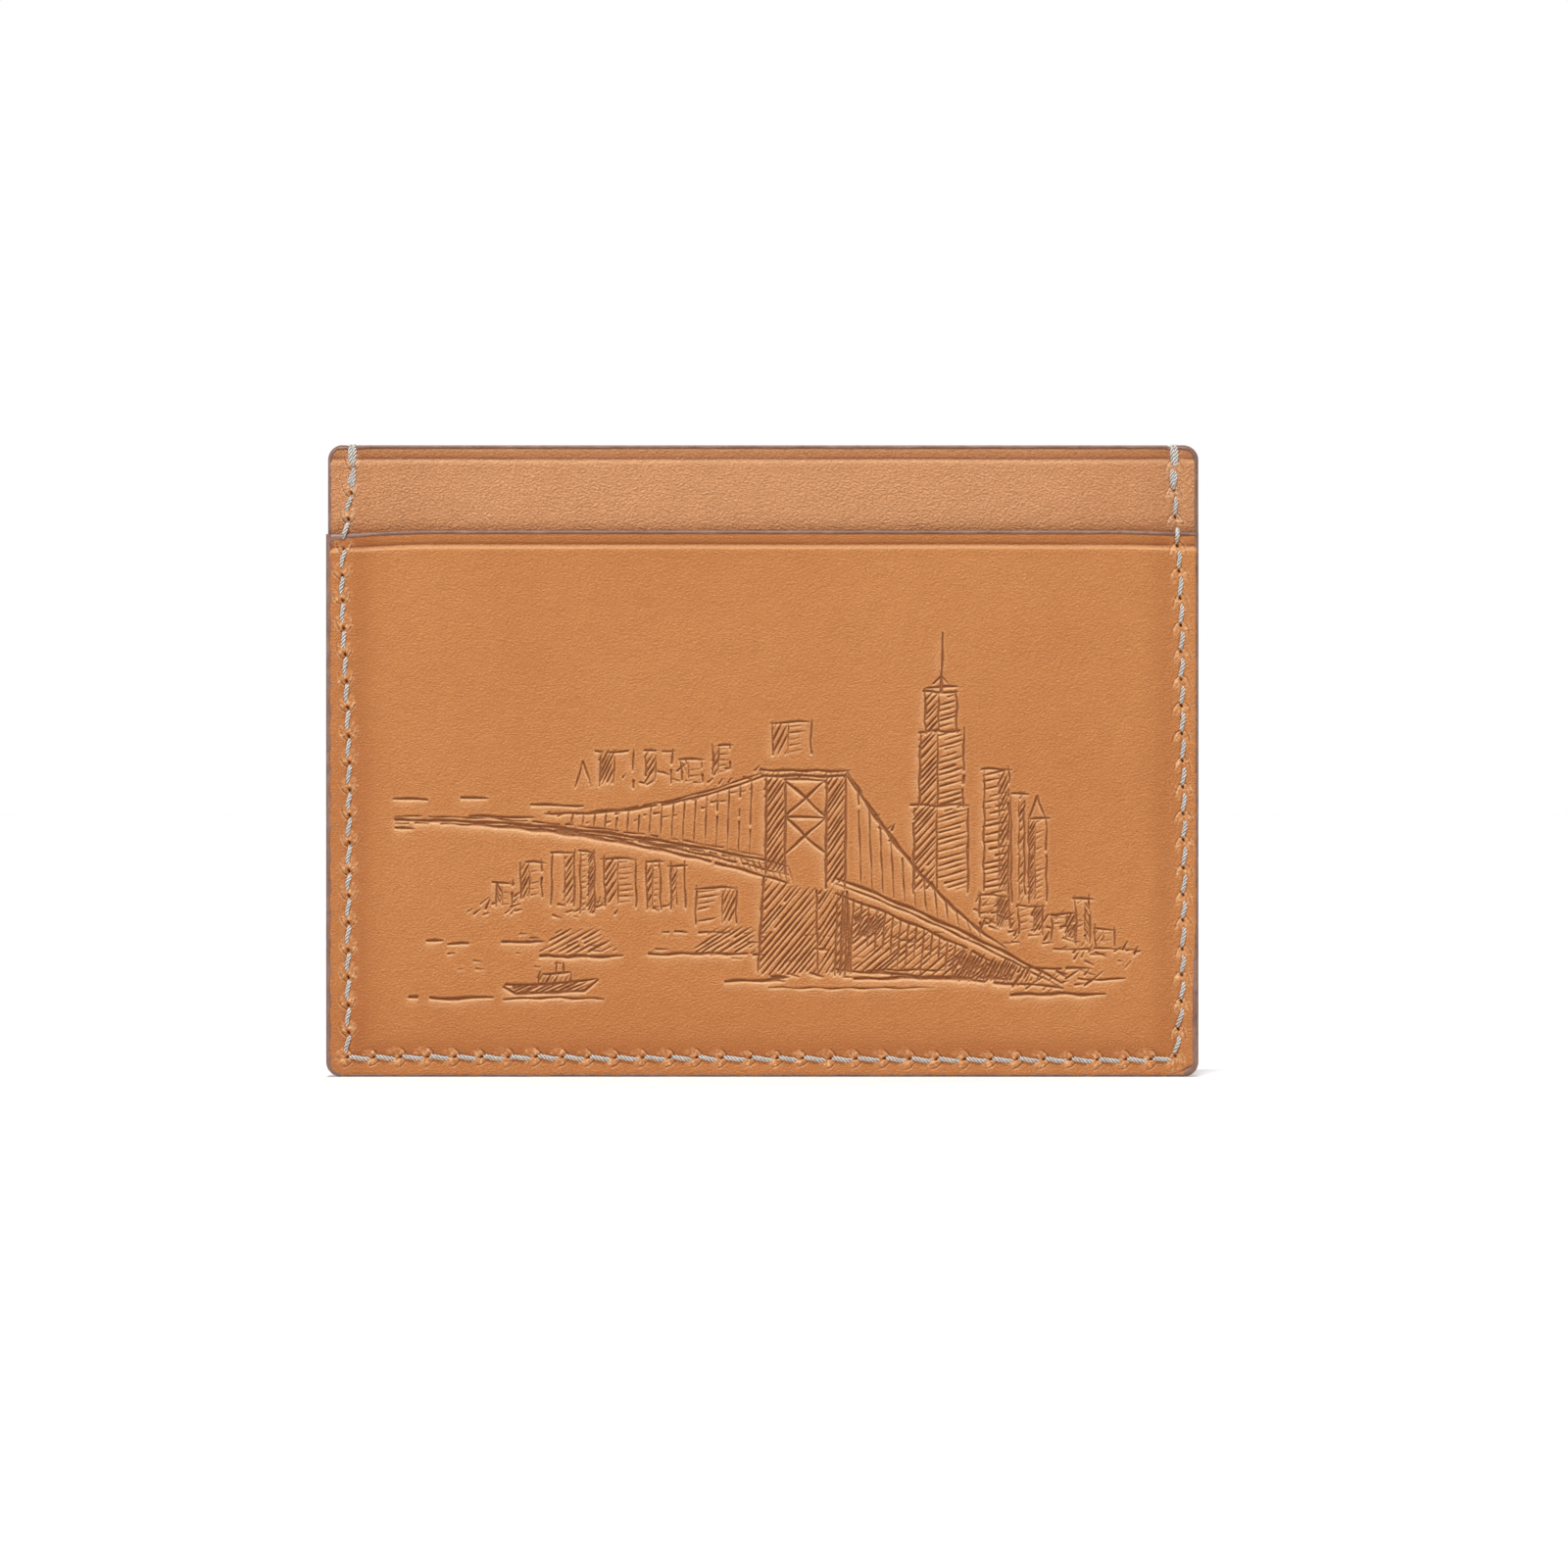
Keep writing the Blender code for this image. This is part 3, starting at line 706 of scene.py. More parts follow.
def press(relief, strokes):
    """Sinks the strokes into the leather. Each has a burnt floor, a faint raised rim painted a little paler
    as a highlight, and a painted highlight below its lower wall; the sunk patches round crowded strokes are
    darkened as painted shade.
    """
    cut = np.zeros_like(relief.depth)
    rim = np.zeros_like(relief.depth)
    for stroke in strokes:
        for (x0, z0, w0), (x1, z1, w1) in zip(stroke, stroke[1:]):
            reach = max(w0, w1) + 0.5 + math.hypot(x1 - x0, z1 - z0) / 2
            where, x, z = relief.window((x0 + x1) / 2, (z0 + z1) / 2, reach)
            away, share = from_line(x, z, (x0, z0), (x1, z1))
            half = w0 + (w1 - w0) * share
            wall = np.clip(0.5 + (half - away) / 0.11, 0, 1) * np.minimum(1, half / 0.1)
            cut[where] = np.maximum(cut[where], wall)
            rim[where] = np.maximum(rim[where], bump(away - half - 0.13, 0.17))
    sunk = blurred(cut, 0.7)
    # Painted highlights below each stroke and each sunk patch, where their lower walls would face the light
    painted_highlight_band = 0.62 * np.clip(np.roll(cut, (-3, -1), (0, 1)) - cut, 0, 1)
    painted_highlight_band += 1.2 * np.clip(np.roll(sunk, (-4, -3), (0, 1)) - sunk, 0, 1) * (1 - cut)
    # Painted shade in the sunk patches, and a painted highlight on the raised rims
    relief.depth += 0.19 * cut + 0.17 * sunk - 0.045 * rim * (1 - cut)
    relief.burnish += 0.66 * cut
    relief.rub += 0.3 * sunk
    relief.stretch += 0.1 * rim * (1 - cut) + painted_highlight_band


# ---- meshes from reliefs


def patch_error(field, step):
    """How far the field strays from the flat patch through each block's corners."""
    corners = field[::step, ::step]
    worst = np.zeros((corners.shape[0] - 1, corners.shape[1] - 1))
    rows, cols = worst.shape
    for i in range(step + 1):
        for j in range(step + 1):
            u, v = i / step, j / step
            low = (1 - v) * corners[:-1, :-1] + v * corners[:-1, 1:]
            high = (1 - v) * corners[1:, :-1] + v * corners[1:, 1:]
            part = field[i : i + (rows - 1) * step + 1 : step, j : j + (cols - 1) * step + 1 : step]
            worst = np.maximum(worst, np.abs(part - (1 - u) * low - u * high))
    return worst


def widened(mask):
    padded = np.pad(mask, 1)
    rows, cols = mask.shape
    return np.any([padded[i : i + rows, j : j + cols] for i in range(3) for j in range(3)], axis=0)


def parents(mask):
    return mask.reshape(mask.shape[0] // 2, 2, mask.shape[1] // 2, 2).any(axis=(1, 3))


def rim_of(mask):
    rim = np.zeros_like(mask)
    rim[0] = rim[-1] = True
    rim[:, 0] = rim[:, -1] = True
    return rim


def adaptive_cells(fields, shape):
    """Polygons over a grid, fine only where a field bends. fields are (field, tolerance) pairs.

    Returns the polygons as lists of point numbers, and which points they use. Neighbours differ by one
    halving at most, so a cell's side has at most one extra point, which becomes a corner of the polygon."""
    rows, cols = shape
    split = {}
    step, finer = 2, None
    while step <= COARSEST:
        need = np.zeros((rows // step, cols // step), bool)
        for field, tolerance in fields:
            need |= patch_error(field, step) > tolerance
        need |= rim_of(need)
        if finer is not None:
            need |= parents(widened(finer))
        split[step] = finer = need
        step *= 2
    used = np.zeros((rows + 1, cols + 1), bool)
    leaves = {}
    for step in (COARSEST >> halving for halving in range(COARSEST.bit_length())):
        exists = np.ones((rows // step, cols // step), bool)
        if step < COARSEST:
            exists = split[step * 2].repeat(2, axis=0).repeat(2, axis=1)
        leaf = exists & ~split[step] if step > 1 else exists
        r, c = (index * step for index in np.nonzero(leaf))
        leaves[step] = (r, c)
        for dr in (0, step):
            for dc in (0, step):
                used[r + dr, c + dc] = True
    polygons = []
    for step, (r, c) in leaves.items():
        half = step // 2
        around = [(0, 0), (0, half), (0, step), (half, step)]
        around += [(step, step), (step, half), (step, 0), (half, 0)]
        if step == 1:
            around = around[::2]
        points = np.stack([(r + dr) * (cols + 1) + c + dc for dr, dc in around], axis=1)
        if step == 1:
            polygons += points.tolist()
            continue
        keep = used.ravel()[points]
        keep[:, ::2] = True
        for row, kept in zip(points.tolist(), keep.tolist()):
            polygons.append([p for p, k in zip(row, kept) if k])
    return polygons, used


def rim_loop(rows, cols):
    """The grid's border points in turn, anticlockwise in (col, row)."""
    grid = np.arange((rows + 1) * (cols + 1)).reshape(rows + 1, cols + 1)
    sides = (grid[0, :-1], grid[:-1, -1], grid[-1, :0:-1], grid[:0:-1, 0])
    return np.concatenate(sides).tolist()


def panel_mesh(name, relief, face_y, inner_y):
    """A closed sheet: the relief on its outer face, a flat inner face, and walls between their rims."""
    outward = -1 if face_y < inner_y else 1
    shape = (relief.rows, relief.cols)
    detail = [(relief.depth, DEPTH_ERROR), (relief.burnish, BURN_AND_SHADE_ERROR)]
    detail += [(relief.hole, MARK_ERROR), (relief.stretch, MARK_ERROR)]
    y_outer = face_y - outward * relief.depth
    y_inner = np.full_like(relief.x, inner_y)
    marks = (relief.burnish, relief.rub, relief.hole, relief.stretch)
    points, faces, shades, numbering = [], [], [], []
    count = 0
    for fields, y, turned in ((detail, y_outer, outward > 0), ([], y_inner, outward < 0)):
        polygons, used = adaptive_cells(fields, shape)
        number = np.full(used.size, -1)
        flat = np.flatnonzero(used)
        number[flat] = count + np.arange(len(flat))
        count += len(flat)
        numbering.append(number)
        points.append(np.stack([field.ravel()[flat] for field in (relief.x, y, relief.z)], axis=1))
        shades.append(np.stack([field.ravel()[flat] for field in marks], axis=1))
        for polygon in polygons:
            loop = [int(number[p]) for p in polygon]
            faces.append(loop[::-1] if turned else loop)
    loop = rim_loop(*shape)
    outer, inner = (number[loop].tolist() for number in numbering)
    for a, b, c, d in zip(outer, outer[1:] + outer[:1], inner, inner[1:] + inner[:1]):
        faces.append([b, a, c, d] if outward < 0 else [d, c, a, b])
    mesh = bpy.data.meshes.new(name)
    mesh.from_pydata((np.concatenate(points) * MM).tolist(), [], faces)
    mesh.update()
    paint_shades(mesh, np.concatenate(shades))
    mesh.shade_smooth()
    mesh.set_sharp_from_angle(angle=math.radians(70))
    return mesh


def paint_shades(mesh, values):
    """Keeps burnish, rub, hole and stretch on the mesh as one colour for the material to read."""
    layer = mesh.color_attributes.new("shade", "FLOAT_COLOR", "POINT")
    layer.data.foreach_set("color", np.clip(values, 0, 1.5).astype(np.float32).ravel())


def add_object(name, data):
    obj = bpy.data.objects.new(name, data)
    bpy.context.scene.collection.objects.link(obj)
    return obj


def place(name, mesh, look, node):
    """Adds a piece that rides on the body in place of a CAD node."""
    mesh.materials.append(look)
    obj = add_object(name, mesh)
    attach(obj, "root")
    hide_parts(node)


# ---- materials


class Nodes:
    """A material's node tree, with short calls to add and join its nodes."""

    def __init__(self, name):
        self.material = bpy.data.materials.new(name)
        self.material.use_nodes = True
        self.tree = self.material.node_tree
        self.shader = self.tree.nodes["Principled BSDF"]

    def add(self, kind, inputs=(), **settings):
        node = self.tree.nodes.new(kind)
        for key, value in settings.items():
            setattr(node, key, value)
        for key, value in dict(inputs).items():
            self.put(node.inputs[key], value)
        return node

    def put(self, socket, value):
        if isinstance(value, bpy.types.NodeSocket):
            self.tree.links.new(value, socket)
        else:
            socket.default_value = value

    def place(self, stretch=(1, 1, 1)):
        """Object coordinates in millimetres, stretched."""
        coordinates = self.add("ShaderNodeTexCoord").outputs["Object"]
        scale = tuple(1000 * s for s in stretch)
        return self.add("ShaderNodeMapping", {"Vector": coordinates, "Scale": scale}).outputs["Vector"]

    def noise(self, vector, scale, detail=3.0, rough=0.55):
        settings = {"Vector": vector, "Scale": scale, "Detail": detail, "Roughness": rough}
        return self.add("ShaderNodeTexNoise", settings).outputs["Fac"]

    def ramp(self, value, low, high, out_low=0.0, out_high=1.0):
        settings = {"Value": value, "From Min": low, "From Max": high, "To Min": out_low, "To Max": out_high}
        return self.add("ShaderNodeMapRange", settings).outputs["Result"]

    def math(self, operation, *values, kind="ShaderNodeMath"):
        node = self.add(kind, operation=operation)
        for socket, value in zip(node.inputs, values):
            self.put(socket, value)
        return node.outputs[0]

    def vector_math(self, operation, *values):
        return self.math(operation, *values, kind="ShaderNodeVectorMath")

    def layers(self, colour, *covers):
        """A colour with others laid over it in turn, each given as its (share, colour)."""
        for share, over in covers:
            node = self.add("ShaderNodeMix", {"Factor": share, "A": colour, "B": over}, data_type="RGBA")
            colour = node.outputs["Result"]
        return colour

    def bump(self, height, distance, normal=None):
        inputs = {"Height": height, "Distance": distance * MM, "Strength": 1.0}
        if normal is not None:
            inputs["Normal"] = normal
        return self.add("ShaderNodeBump", inputs).outputs["Normal"]

    def finish(self, **inputs):
        for key, value in inputs.items():
            self.put(self.shader.inputs[key.replace("_", " ")], value)
        return self.material


# Painted shade: the near black put in the awl's slits
PAINTED_HOLE_SHADE = (0.05, 0.025, 0.017, 1)


def leather(name, base, light, deep, burnt, pale, coarse):
    """Vegetable-tanned leather: a mottled, pebbled tan with painted light and shade on its grain, that shows
    the face's four marks.
    """
    n = Nodes(name)
    here = n.place()
    flat = n.place((0.8, 1.0, 1.15))
    cloud = n.noise(here, 0.045, 3.0)
    mottle = n.noise(here, 0.4, 4.0, 0.6)
    warp = n.add("ShaderNodeTexNoise", {"Vector": flat, "Scale": 1.6, "Detail": 2.0}).outputs["Color"]
    bent = n.vector_math("MULTIPLY_ADD", warp, (0.7, 0.7, 0.7), flat)
    pebble_inputs = {"Vector": bent, "Scale": 2.6, "Randomness": 1.0}
    pebble = n.add("ShaderNodeTexVoronoi", pebble_inputs, feature="DISTANCE_TO_EDGE").outputs["Distance"]
    pebble = n.ramp(pebble, 0.0, 0.28)
    grain = n.noise(flat, 4.6 / coarse, 3.0, 0.6)
    # Painted light and shade on the grain: the grain less itself a little higher up finds its small slopes
    # that face down, painted darker, and up, painted paler
    above = n.vector_math("ADD", flat, (-0.03 * coarse, 0, 0.09 * coarse))
    painted_grain_shading = n.math("SUBTRACT", grain, n.noise(above, 4.6 / coarse, 3.0, 0.6))
    shade = n.add("ShaderNodeAttribute", attribute_name="shade")
    split = n.add("ShaderNodeSeparateColor", {"Color": shade.outputs["Color"]})
    burnish, rub, hole = (split.outputs[c] for c in ("Red", "Green", "Blue"))
    colour = n.layers(
        base,
        (n.ramp(cloud, 0.35, 0.68), light),
        (n.ramp(mottle, 0.42, 0.8, 0.0, 0.16), deep),
        (n.ramp(pebble, 0.6, 0.0, 0.0, 0.3 * coarse), deep),
        # Painted shade on the grain's slopes that face down, and a painted highlight on those that face up
        (n.ramp(painted_grain_shading, 0.0, -0.16, 0.0, 0.38 * coarse), deep),
        (n.ramp(painted_grain_shading, 0.02, 0.16, 0.0, 0.24 * coarse), pale),
        # A slight darkening, partly painted shade, then paler marks, partly painted highlights
        (n.math("MULTIPLY", rub, 0.55), deep),
        (n.math("MINIMUM", shade.outputs["Alpha"], 0.85), pale),
        # The burnt strokes and crease, also painted shade in folds and wrinkles, then the awl's slits
        # painted near black as their shade
        (n.math("MINIMUM", burnish, 1.0), burnt),
        (n.math("MINIMUM", hole, 1.0), PAINTED_HOLE_SHADE),
    )
    height = n.math("ADD", n.math("MULTIPLY", grain, 0.6), n.math("MULTIPLY", pebble, 0.22))
    fine = n.bump(height, 0.22 * coarse)
    wave = n.bump(n.noise(here, 0.35, 2.0), 0.16, fine)
    roughness = n.math("SUBTRACT", n.ramp(grain, 0.3, 0.7, 0.46, 0.6), n.math("MULTIPLY", burnish, 0.12))
    return n.finish(Base_Color=colour, Roughness=roughness, Specular_IOR_Level=0.42, Normal=wave)


def edge_paint(name, base, light, dark):
    """Thick grey-brown edge paint, in coats that leave a soft waviness and a few rubbed spots."""
    n = Nodes(name)
    here = n.place()
    long = n.place((0.35, 2.2, 0.35))
    lines = n.noise(long, 1.4, 3.0)
    spots = n.noise(here, 1.6, 4.0, 0.6)
    colour = n.layers(base, (n.ramp(lines, 0.4, 0.68), light), (n.ramp(spots, 0.55, 0.78, 0.0, 0.7), dark))
    height = n.math("ADD", n.math("MULTIPLY", lines, 0.8), n.math("MULTIPLY", spots, 0.5))
    normal = n.bump(height, 0.09)
    roughness = n.ramp(spots, 0.3, 0.7, 0.38, 0.56)
    return n.finish(Base_Color=colour, Roughness=roughness, Specular_IOR_Level=0.45, Normal=normal)


def linen(name, base, light, dark):
    """Waxed linen: fibres that run along each ply, darker patches, and painted shade in the grooves between
    the plies.
    """
    n = Nodes(name)
    along = n.add("ShaderNodeAttribute", attribute_name="fibre").outputs["Vector"]
    fibre = n.add("ShaderNodeMapping", {"Vector": along, "Scale": (1.2, 9.0, 1.0)}).outputs["Vector"]
    strands = n.noise(fibre, 1.6, 4.0, 0.7)
    patch = n.noise(n.place(), 1.2, 2.0)
    outward = n.add("ShaderNodeSeparateXYZ", {"Vector": along}).outputs["Z"]
    colour = n.layers(
        base,
        (n.ramp(strands, 0.35, 0.7), light),
        (n.ramp(patch, 0.45, 0.8, 0.0, 0.4), dark),
        # Painted shade where the plies meet
        (n.ramp(outward, 0.75, 0.3, 0.0, 0.85), dark),
    )
    normal = n.bump(strands, 0.05)
    roughness = n.ramp(strands, 0.3, 0.7, 0.62, 0.85)
    return n.finish(Base_Color=colour, Roughness=roughness, Specular_IOR_Level=0.3, Normal=normal)


def suede(name, base, dark):
    """The flesh side of thin skived leather: a short matted nap."""
    n = Nodes(name)
    here = n.place((1.0, 1.0, 0.5))
    nap = n.noise(here, 6.0, 5.0, 0.75)
    colour = n.layers(base, (n.ramp(nap, 0.35, 0.7), dark))
    return n.finish(Base_Color=colour, Roughness=0.92, Specular_IOR_Level=0.15, Normal=n.bump(nap, 0.08))


def rgb(red, green, blue):
    """A colour given as 0 to 255 display values, as linear light."""
    shares = (c / 255 for c in (red, green, blue))
    return (*(s / 12.92 if s < 0.0404 else ((s + 0.055) / 1.055) ** 2.4 for s in shares), 1.0)


POCKET_LEATHER = leather(
    "pocket_leather",
    base=rgb(191, 119, 55),
    light=rgb(197, 127, 63),
    deep=rgb(162, 87, 28),
    burnt=rgb(116, 54, 9),
    pale=rgb(237, 183, 130),
    coarse=0.95,
)
STRIP_LEATHER = leather(
    "strip_leather",
    base=rgb(211, 148, 97),
    light=rgb(208, 147, 97),
    deep=rgb(164, 96, 45),
    burnt=rgb(116, 58, 18),
    pale=rgb(238, 190, 148),
    coarse=1.3,
)
PAINT = edge_paint("edge_paint", rgb(126, 92, 77), rgb(146, 114, 99), rgb(92, 63, 52))
LINEN = linen("waxed_linen", rgb(216, 212, 206), rgb(232, 229, 224), rgb(148, 134, 122))
SUEDE = suede("lining_suede", rgb(186, 134, 92), rgb(150, 100, 62))


# ---- the leather panels


def pocket_relief(art):
    relief = Relief(POCKET_TOP - UNDER_PAINT)
    pillow(relief)
    sew(relief, -1, POCKET_TOP - 0.9)
    crease(relief, 0.45)
    relief.depth += 0.035 * smooth_noise(relief, 26, 3) + 0.012 * smooth_noise(relief, 5, 4) + 0.035
    # Darker towards the left edge, and painted shade towards the bottom, where less light falls
    relief.rub += 0.4 * smooth(9, 3, relief.x + WIDTH / 2) + 0.32 * smooth(12, 4, relief.z)
    if art:
        press(relief, art)
        # Six small wrinkles at the bottom right corner, sunk and darkened as painted shade along their lines
        for i in range(6):
            start = (WIDTH / 2 - 2.3 + 0.28 * i, 0.5 + 0.05 * i)
            away = from_line(relief.x, relief.z, start, (start[0] + 1.1, start[1] + 0.5 + 0.12 * i))[0]
            relief.burnish += 0.22 * bump(away, 0.09)
            relief.depth += 0.05 * bump(away, 0.1)
    paint_slope_light(relief)
    round_over(relief)
    relief.z -= mouth_droop(relief.x) * smooth(relief.top - 8, relief.top - 2, relief.z)
    return relief


def body_relief():
    relief = Relief(HEIGHT - UNDER_PAINT)
    shown = smooth(POCKET_TOP - 2.5, POCKET_TOP - 1.5, relief.z)
    side = WIDTH / 2 - np.abs(relief.x)
    relief.depth += BODY_PILLOW * smooth(6.5, 1.5, side) * shown
    # Painted shade on the slope down to the seam, and towards both ends, where less light falls
    relief.rub += (0.2 * bump(side - 3.9, 1.5) + 0.3 * smooth(20, 8, side)) * shown
    sew(relief, POCKET_TOP + 0.2, HEIGHT)
    crease(relief, 0.16)
    relief.depth += 0.03 * (1 + smooth_noise(relief, 22, 8)) * shown
    # Painted shade along the strip where it runs behind the pocket's edge
    relief.rub += 0.75 * bump(relief.z - POCKET_TOP, 0.7)
    paint_slope_light(relief)
    round_over(relief)
    # The thread bites into the top edge where it goes over
    relief.z -= top_bite(relief.x) * smooth(relief.top - 1.2, relief.top, relief.z)
    relief.x += body_step(relief.x, relief.z)
    return relief


def make_panels():
    for side, art in (("front", drawing()), ("back", None)):
        for part, relief, look in (
            ("pocket", pocket_relief(art), POCKET_LEATHER),
            ("body", body_relief(), STRIP_LEATHER),
        ):
            node = f"{side}_{part}_panel"
            name = f"{side}_{part}_leather"
            low, high = mm_box(node)
            ys = (low[1], high[1]) if side == "front" else (high[1], low[1])
            place(name, panel_mesh(name, relief, *ys), look, node)
    for side in ("front", "back"):
        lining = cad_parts[f"centre_pocket_{side}_lining"]
        lining.data.materials.clear()
        lining.data.materials.append(SUEDE)


# ---- the painted edges


def coat_profile(face, sink, reach, seams):
    """A coat's outer line, as (inset, y) points from its border on the front, round the edge, to the back.

    seams are the y of the lines between the layers, which show as shallow grooves."""
    low, high = face + sink, -face - sink
    # From the border to where the edge turns flat, as (inset, how far in from the face)
    border = [(reach, -PAINT_PROUD * 0.3)] if reach > ROUND_OVER else []
    for a in np.linspace(0, math.pi / 2, 9):
        inset = ROUND_OVER * (1 - math.sin(a))
        if inset <= reach:
            border.append((inset, ROUND_DEPTH * (1 - math.cos(a)) - PAINT_PROUD * math.cos(a)))
    side = []
    for y in np.linspace(low + ROUND_DEPTH, high - ROUND_DEPTH, 25)[1:-1]:
        groove = sum(0.05 * math.exp(-(((y - seam) / 0.09) ** 2)) for seam in seams)
        belly = 0.03 * math.cos(math.pi * (y - (low + high) / 2) / (high - low))
        side.append((groove - belly, y))
    over = [(inset, low + y) for inset, y in border]
    under = [(inset, high - y) for inset, y in border[::-1]]
    return over + side + under


def outline_points():
    """(point, outward normal) pairs round the card holder, from the top left notch, down, along and up."""
    cx, high, low = WIDTH / 2 - CORNER, HEIGHT - CORNER, CORNER
    inner_end = SEAM_X - 1.12
    left_top, right_top = (POCKET_TOP - mouth_droop(x) for x in (-WIDTH / 2, WIDTH / 2))
    side = WIDTH / 2
    route = []

    def straight(a, b, normal, with_end=False):
        a, b = Vector(a), Vector(b)
        steps = max(1, int((b - a).length / OUTLINE_STEP))
        route.extend((a.lerp(b, i / steps), Vector(normal)) for i in range(steps + with_end))

    def turn(x, z, start):
        for i in range(CORNER_STEPS):
            angle = math.radians(start + 90 * i / CORNER_STEPS)
            normal = Vector((math.cos(angle), math.sin(angle)))
            route.append((Vector((x, z)) + normal * CORNER, normal))

    straight((-inner_end, HEIGHT), (-cx, HEIGHT), (0, 1))
    turn(-cx, high, 90)
    straight((-side, high), (-side, left_top + 0.02), (-1, 0), with_end=True)
    straight((-side, left_top - 0.02), (-side, low), (-1, 0))
    turn(-cx, low, 180)
    straight((-cx, 0), (cx, 0), (0, -1))
    turn(cx, low, 270)
    straight((side, low), (side, right_top - 0.02), (1, 0), with_end=True)
    straight((side, right_top + 0.02), (side, high), (1, 0))
    turn(cx, high, 0)
    straight((cx, HEIGHT), (inner_end, HEIGHT), (0, 1), with_end=True)
    for point, _ in route:
        if point.y > HEIGHT - CORNER:
            point.y -= top_bite(point.x)
        if above_pocket(point):
            point.x += body_step(point.x, HEIGHT)
    return route


def sweep(name, stations):
    """A closed skin from stations, each an outer and an inner line of as many 3-D points."""
    shape = bmesh.new()
    rings = [[shape.verts.new(p * MM) for p in outer + inner[::-1]] for outer, inner in stations]
    for a, b in zip(rings, rings[1:]):
        for i in range(len(a)):
            j = (i + 1) % len(a)
            shape.faces.new((a[i], a[j], b[j], b[i]))
    for ring, start in ((rings[0], True), (rings[-1], False)):
        half = len(ring) // 2
        for i in range(half - 1):
            quad = (ring[i], ring[i + 1], ring[-2 - i], ring[-1 - i])
            shape.faces.new(quad if not start else quad[::-1])
    bmesh.ops.recalc_face_normals(shape, faces=shape.faces)
    mesh = bpy.data.meshes.new(name)
    shape.to_mesh(mesh)
    shape.free()
    mesh.shade_smooth()
    mesh.set_sharp_from_angle(angle=math.radians(50))
    return mesh


def coat_stations(route, section, count):
    """Stations of count points each along a route. section(point) gives the coat's profile there."""
    stations = []
    for point, normal in route:
        profile = section(point)
        outer = [Vector((point.x - normal.x * e, y, point.y - normal.y * e)) for e, y in profile]
        middle = sum(y for _, y in profile) / len(profile)
        half = max(abs(y - middle) for _, y in profile)
        inner = []
        for e, y in profile:
            shrunk = middle + (y - middle) * (half - COAT_DEPTH) / half
            deep = e + COAT_DEPTH
            inner.append(Vector((point.x - normal.x * deep, shrunk, point.y - normal.y * deep)))
        stations.append((evened(outer, count), evened(inner, count)))
    return stations


def above_pocket(point):
    return point.y > POCKET_TOP - mouth_droop(point.x)


def side_reach(point):
    """How far the paint comes in over the face: least along the foot, most at the foot of the right side."""
    x, z = point
    if abs(x) < WIDTH / 2 - CORNER:
        reach = 0.24 if z < HEIGHT / 2 else 0.42
    elif above_pocket(point):
        reach = 0.34 if x < 0 else 0.46
    else:
        reach = 0.5 if x < 0 else 0.34 + 0.3 * smooth(19, 8, z)
    return reach + 0.03 * math.sin(z * 1.9 + x * 0.8) + 0.02 * math.sin(z * 5.3 + x * 3.1)


def make_side_coats():
    route = outline_points()
    layer = (FRONT + FRONT_BODY_FACE) / 2 + 0.4

    def section(point):
        reach = side_reach(point)
        if above_pocket(point):
            return coat_profile(FRONT_BODY_FACE, BODY_PILLOW, reach, (0.0, -0.55, 0.55))
        return coat_profile(FRONT, PILLOW, reach, (0.0, layer, -layer, layer / 2, -layer / 2))

    cuts = {"left": [], "bottom": [], "right": []}
    for point, normal in route:
        if abs(point.x) <= WIDTH / 2 - CORNER and point.y < HEIGHT / 2:
            cuts["bottom"].append((point, normal))
        else:
            cuts["left" if point.x < 0 else "right"].append((point, normal))
    cuts["bottom"].append(cuts["right"][0])
    cuts["bottom"].insert(0, cuts["left"][-1])
    for word, part in cuts.items():
        name = "edge_paint_" + word
        stations = coat_stations(part, section, 40)
        place(name, sweep(name, stations), PAINT, "edge_coat_" + word)


def evened(points, count):
    """As many points as count, evenly spaced along a line of points."""
    lengths = [0.0]
    for a, b in zip(points, points[1:]):
        lengths.append(lengths[-1] + (b - a).length)
    made = []
    for i in range(count):
        want = lengths[-1] * i / (count - 1)
        j = min(len(points) - 2, max(0, int(np.searchsorted(lengths, want)) - 1))
        span = lengths[j + 1] - lengths[j]
        made.append(points[j].lerp(points[j + 1], (want - lengths[j]) / span if span > 0 else 0))
    return made


def make_mouth_coats():
    for word in ("front_pocket", "front_body", "back_body", "back_pocket"):
        low, high = mm_box("mouth_coat_" + word)
        pocket = word.endswith("pocket")
        outer_front = word.startswith("front")
        reach_x = high[0] - (0.1 if pocket else 0.0)
        steps = int(2 * reach_x / 0.35)
        route = []
        for i in range(steps + 1):
            x = -reach_x + 2 * reach_x * i / steps
            droop = mouth_droop(x) if pocket else 0.0
            route.append((Vector((x, high[2] - droop)), Vector((0, 1))))

        def section(point):
            near, far = 0.23 + 0.02 * math.sin(point.x * 0.9) + 0.015 * math.sin(point.x * 2.7), 0.22
            near += 0.5 * bump(point.x + WIDTH / 2 - 0.8, 2.0) if pocket else 0.0
            reaches = (near, far) if outer_front else (far, near)
            sunk = (PILLOW if pocket else 0.0) * smooth(PILLOW_REACH, 1.5, WIDTH / 2 - abs(point.x))
            front, back = (low[1] + sunk, high[1]) if outer_front else (low[1], high[1] - sunk)
            return mouth_profile(front, back, *reaches)

        name = "mouth_paint_" + word
        stations = coat_stations(route, section, 24)
        place(name, sweep(name, stations), PAINT, "mouth_coat_" + word)


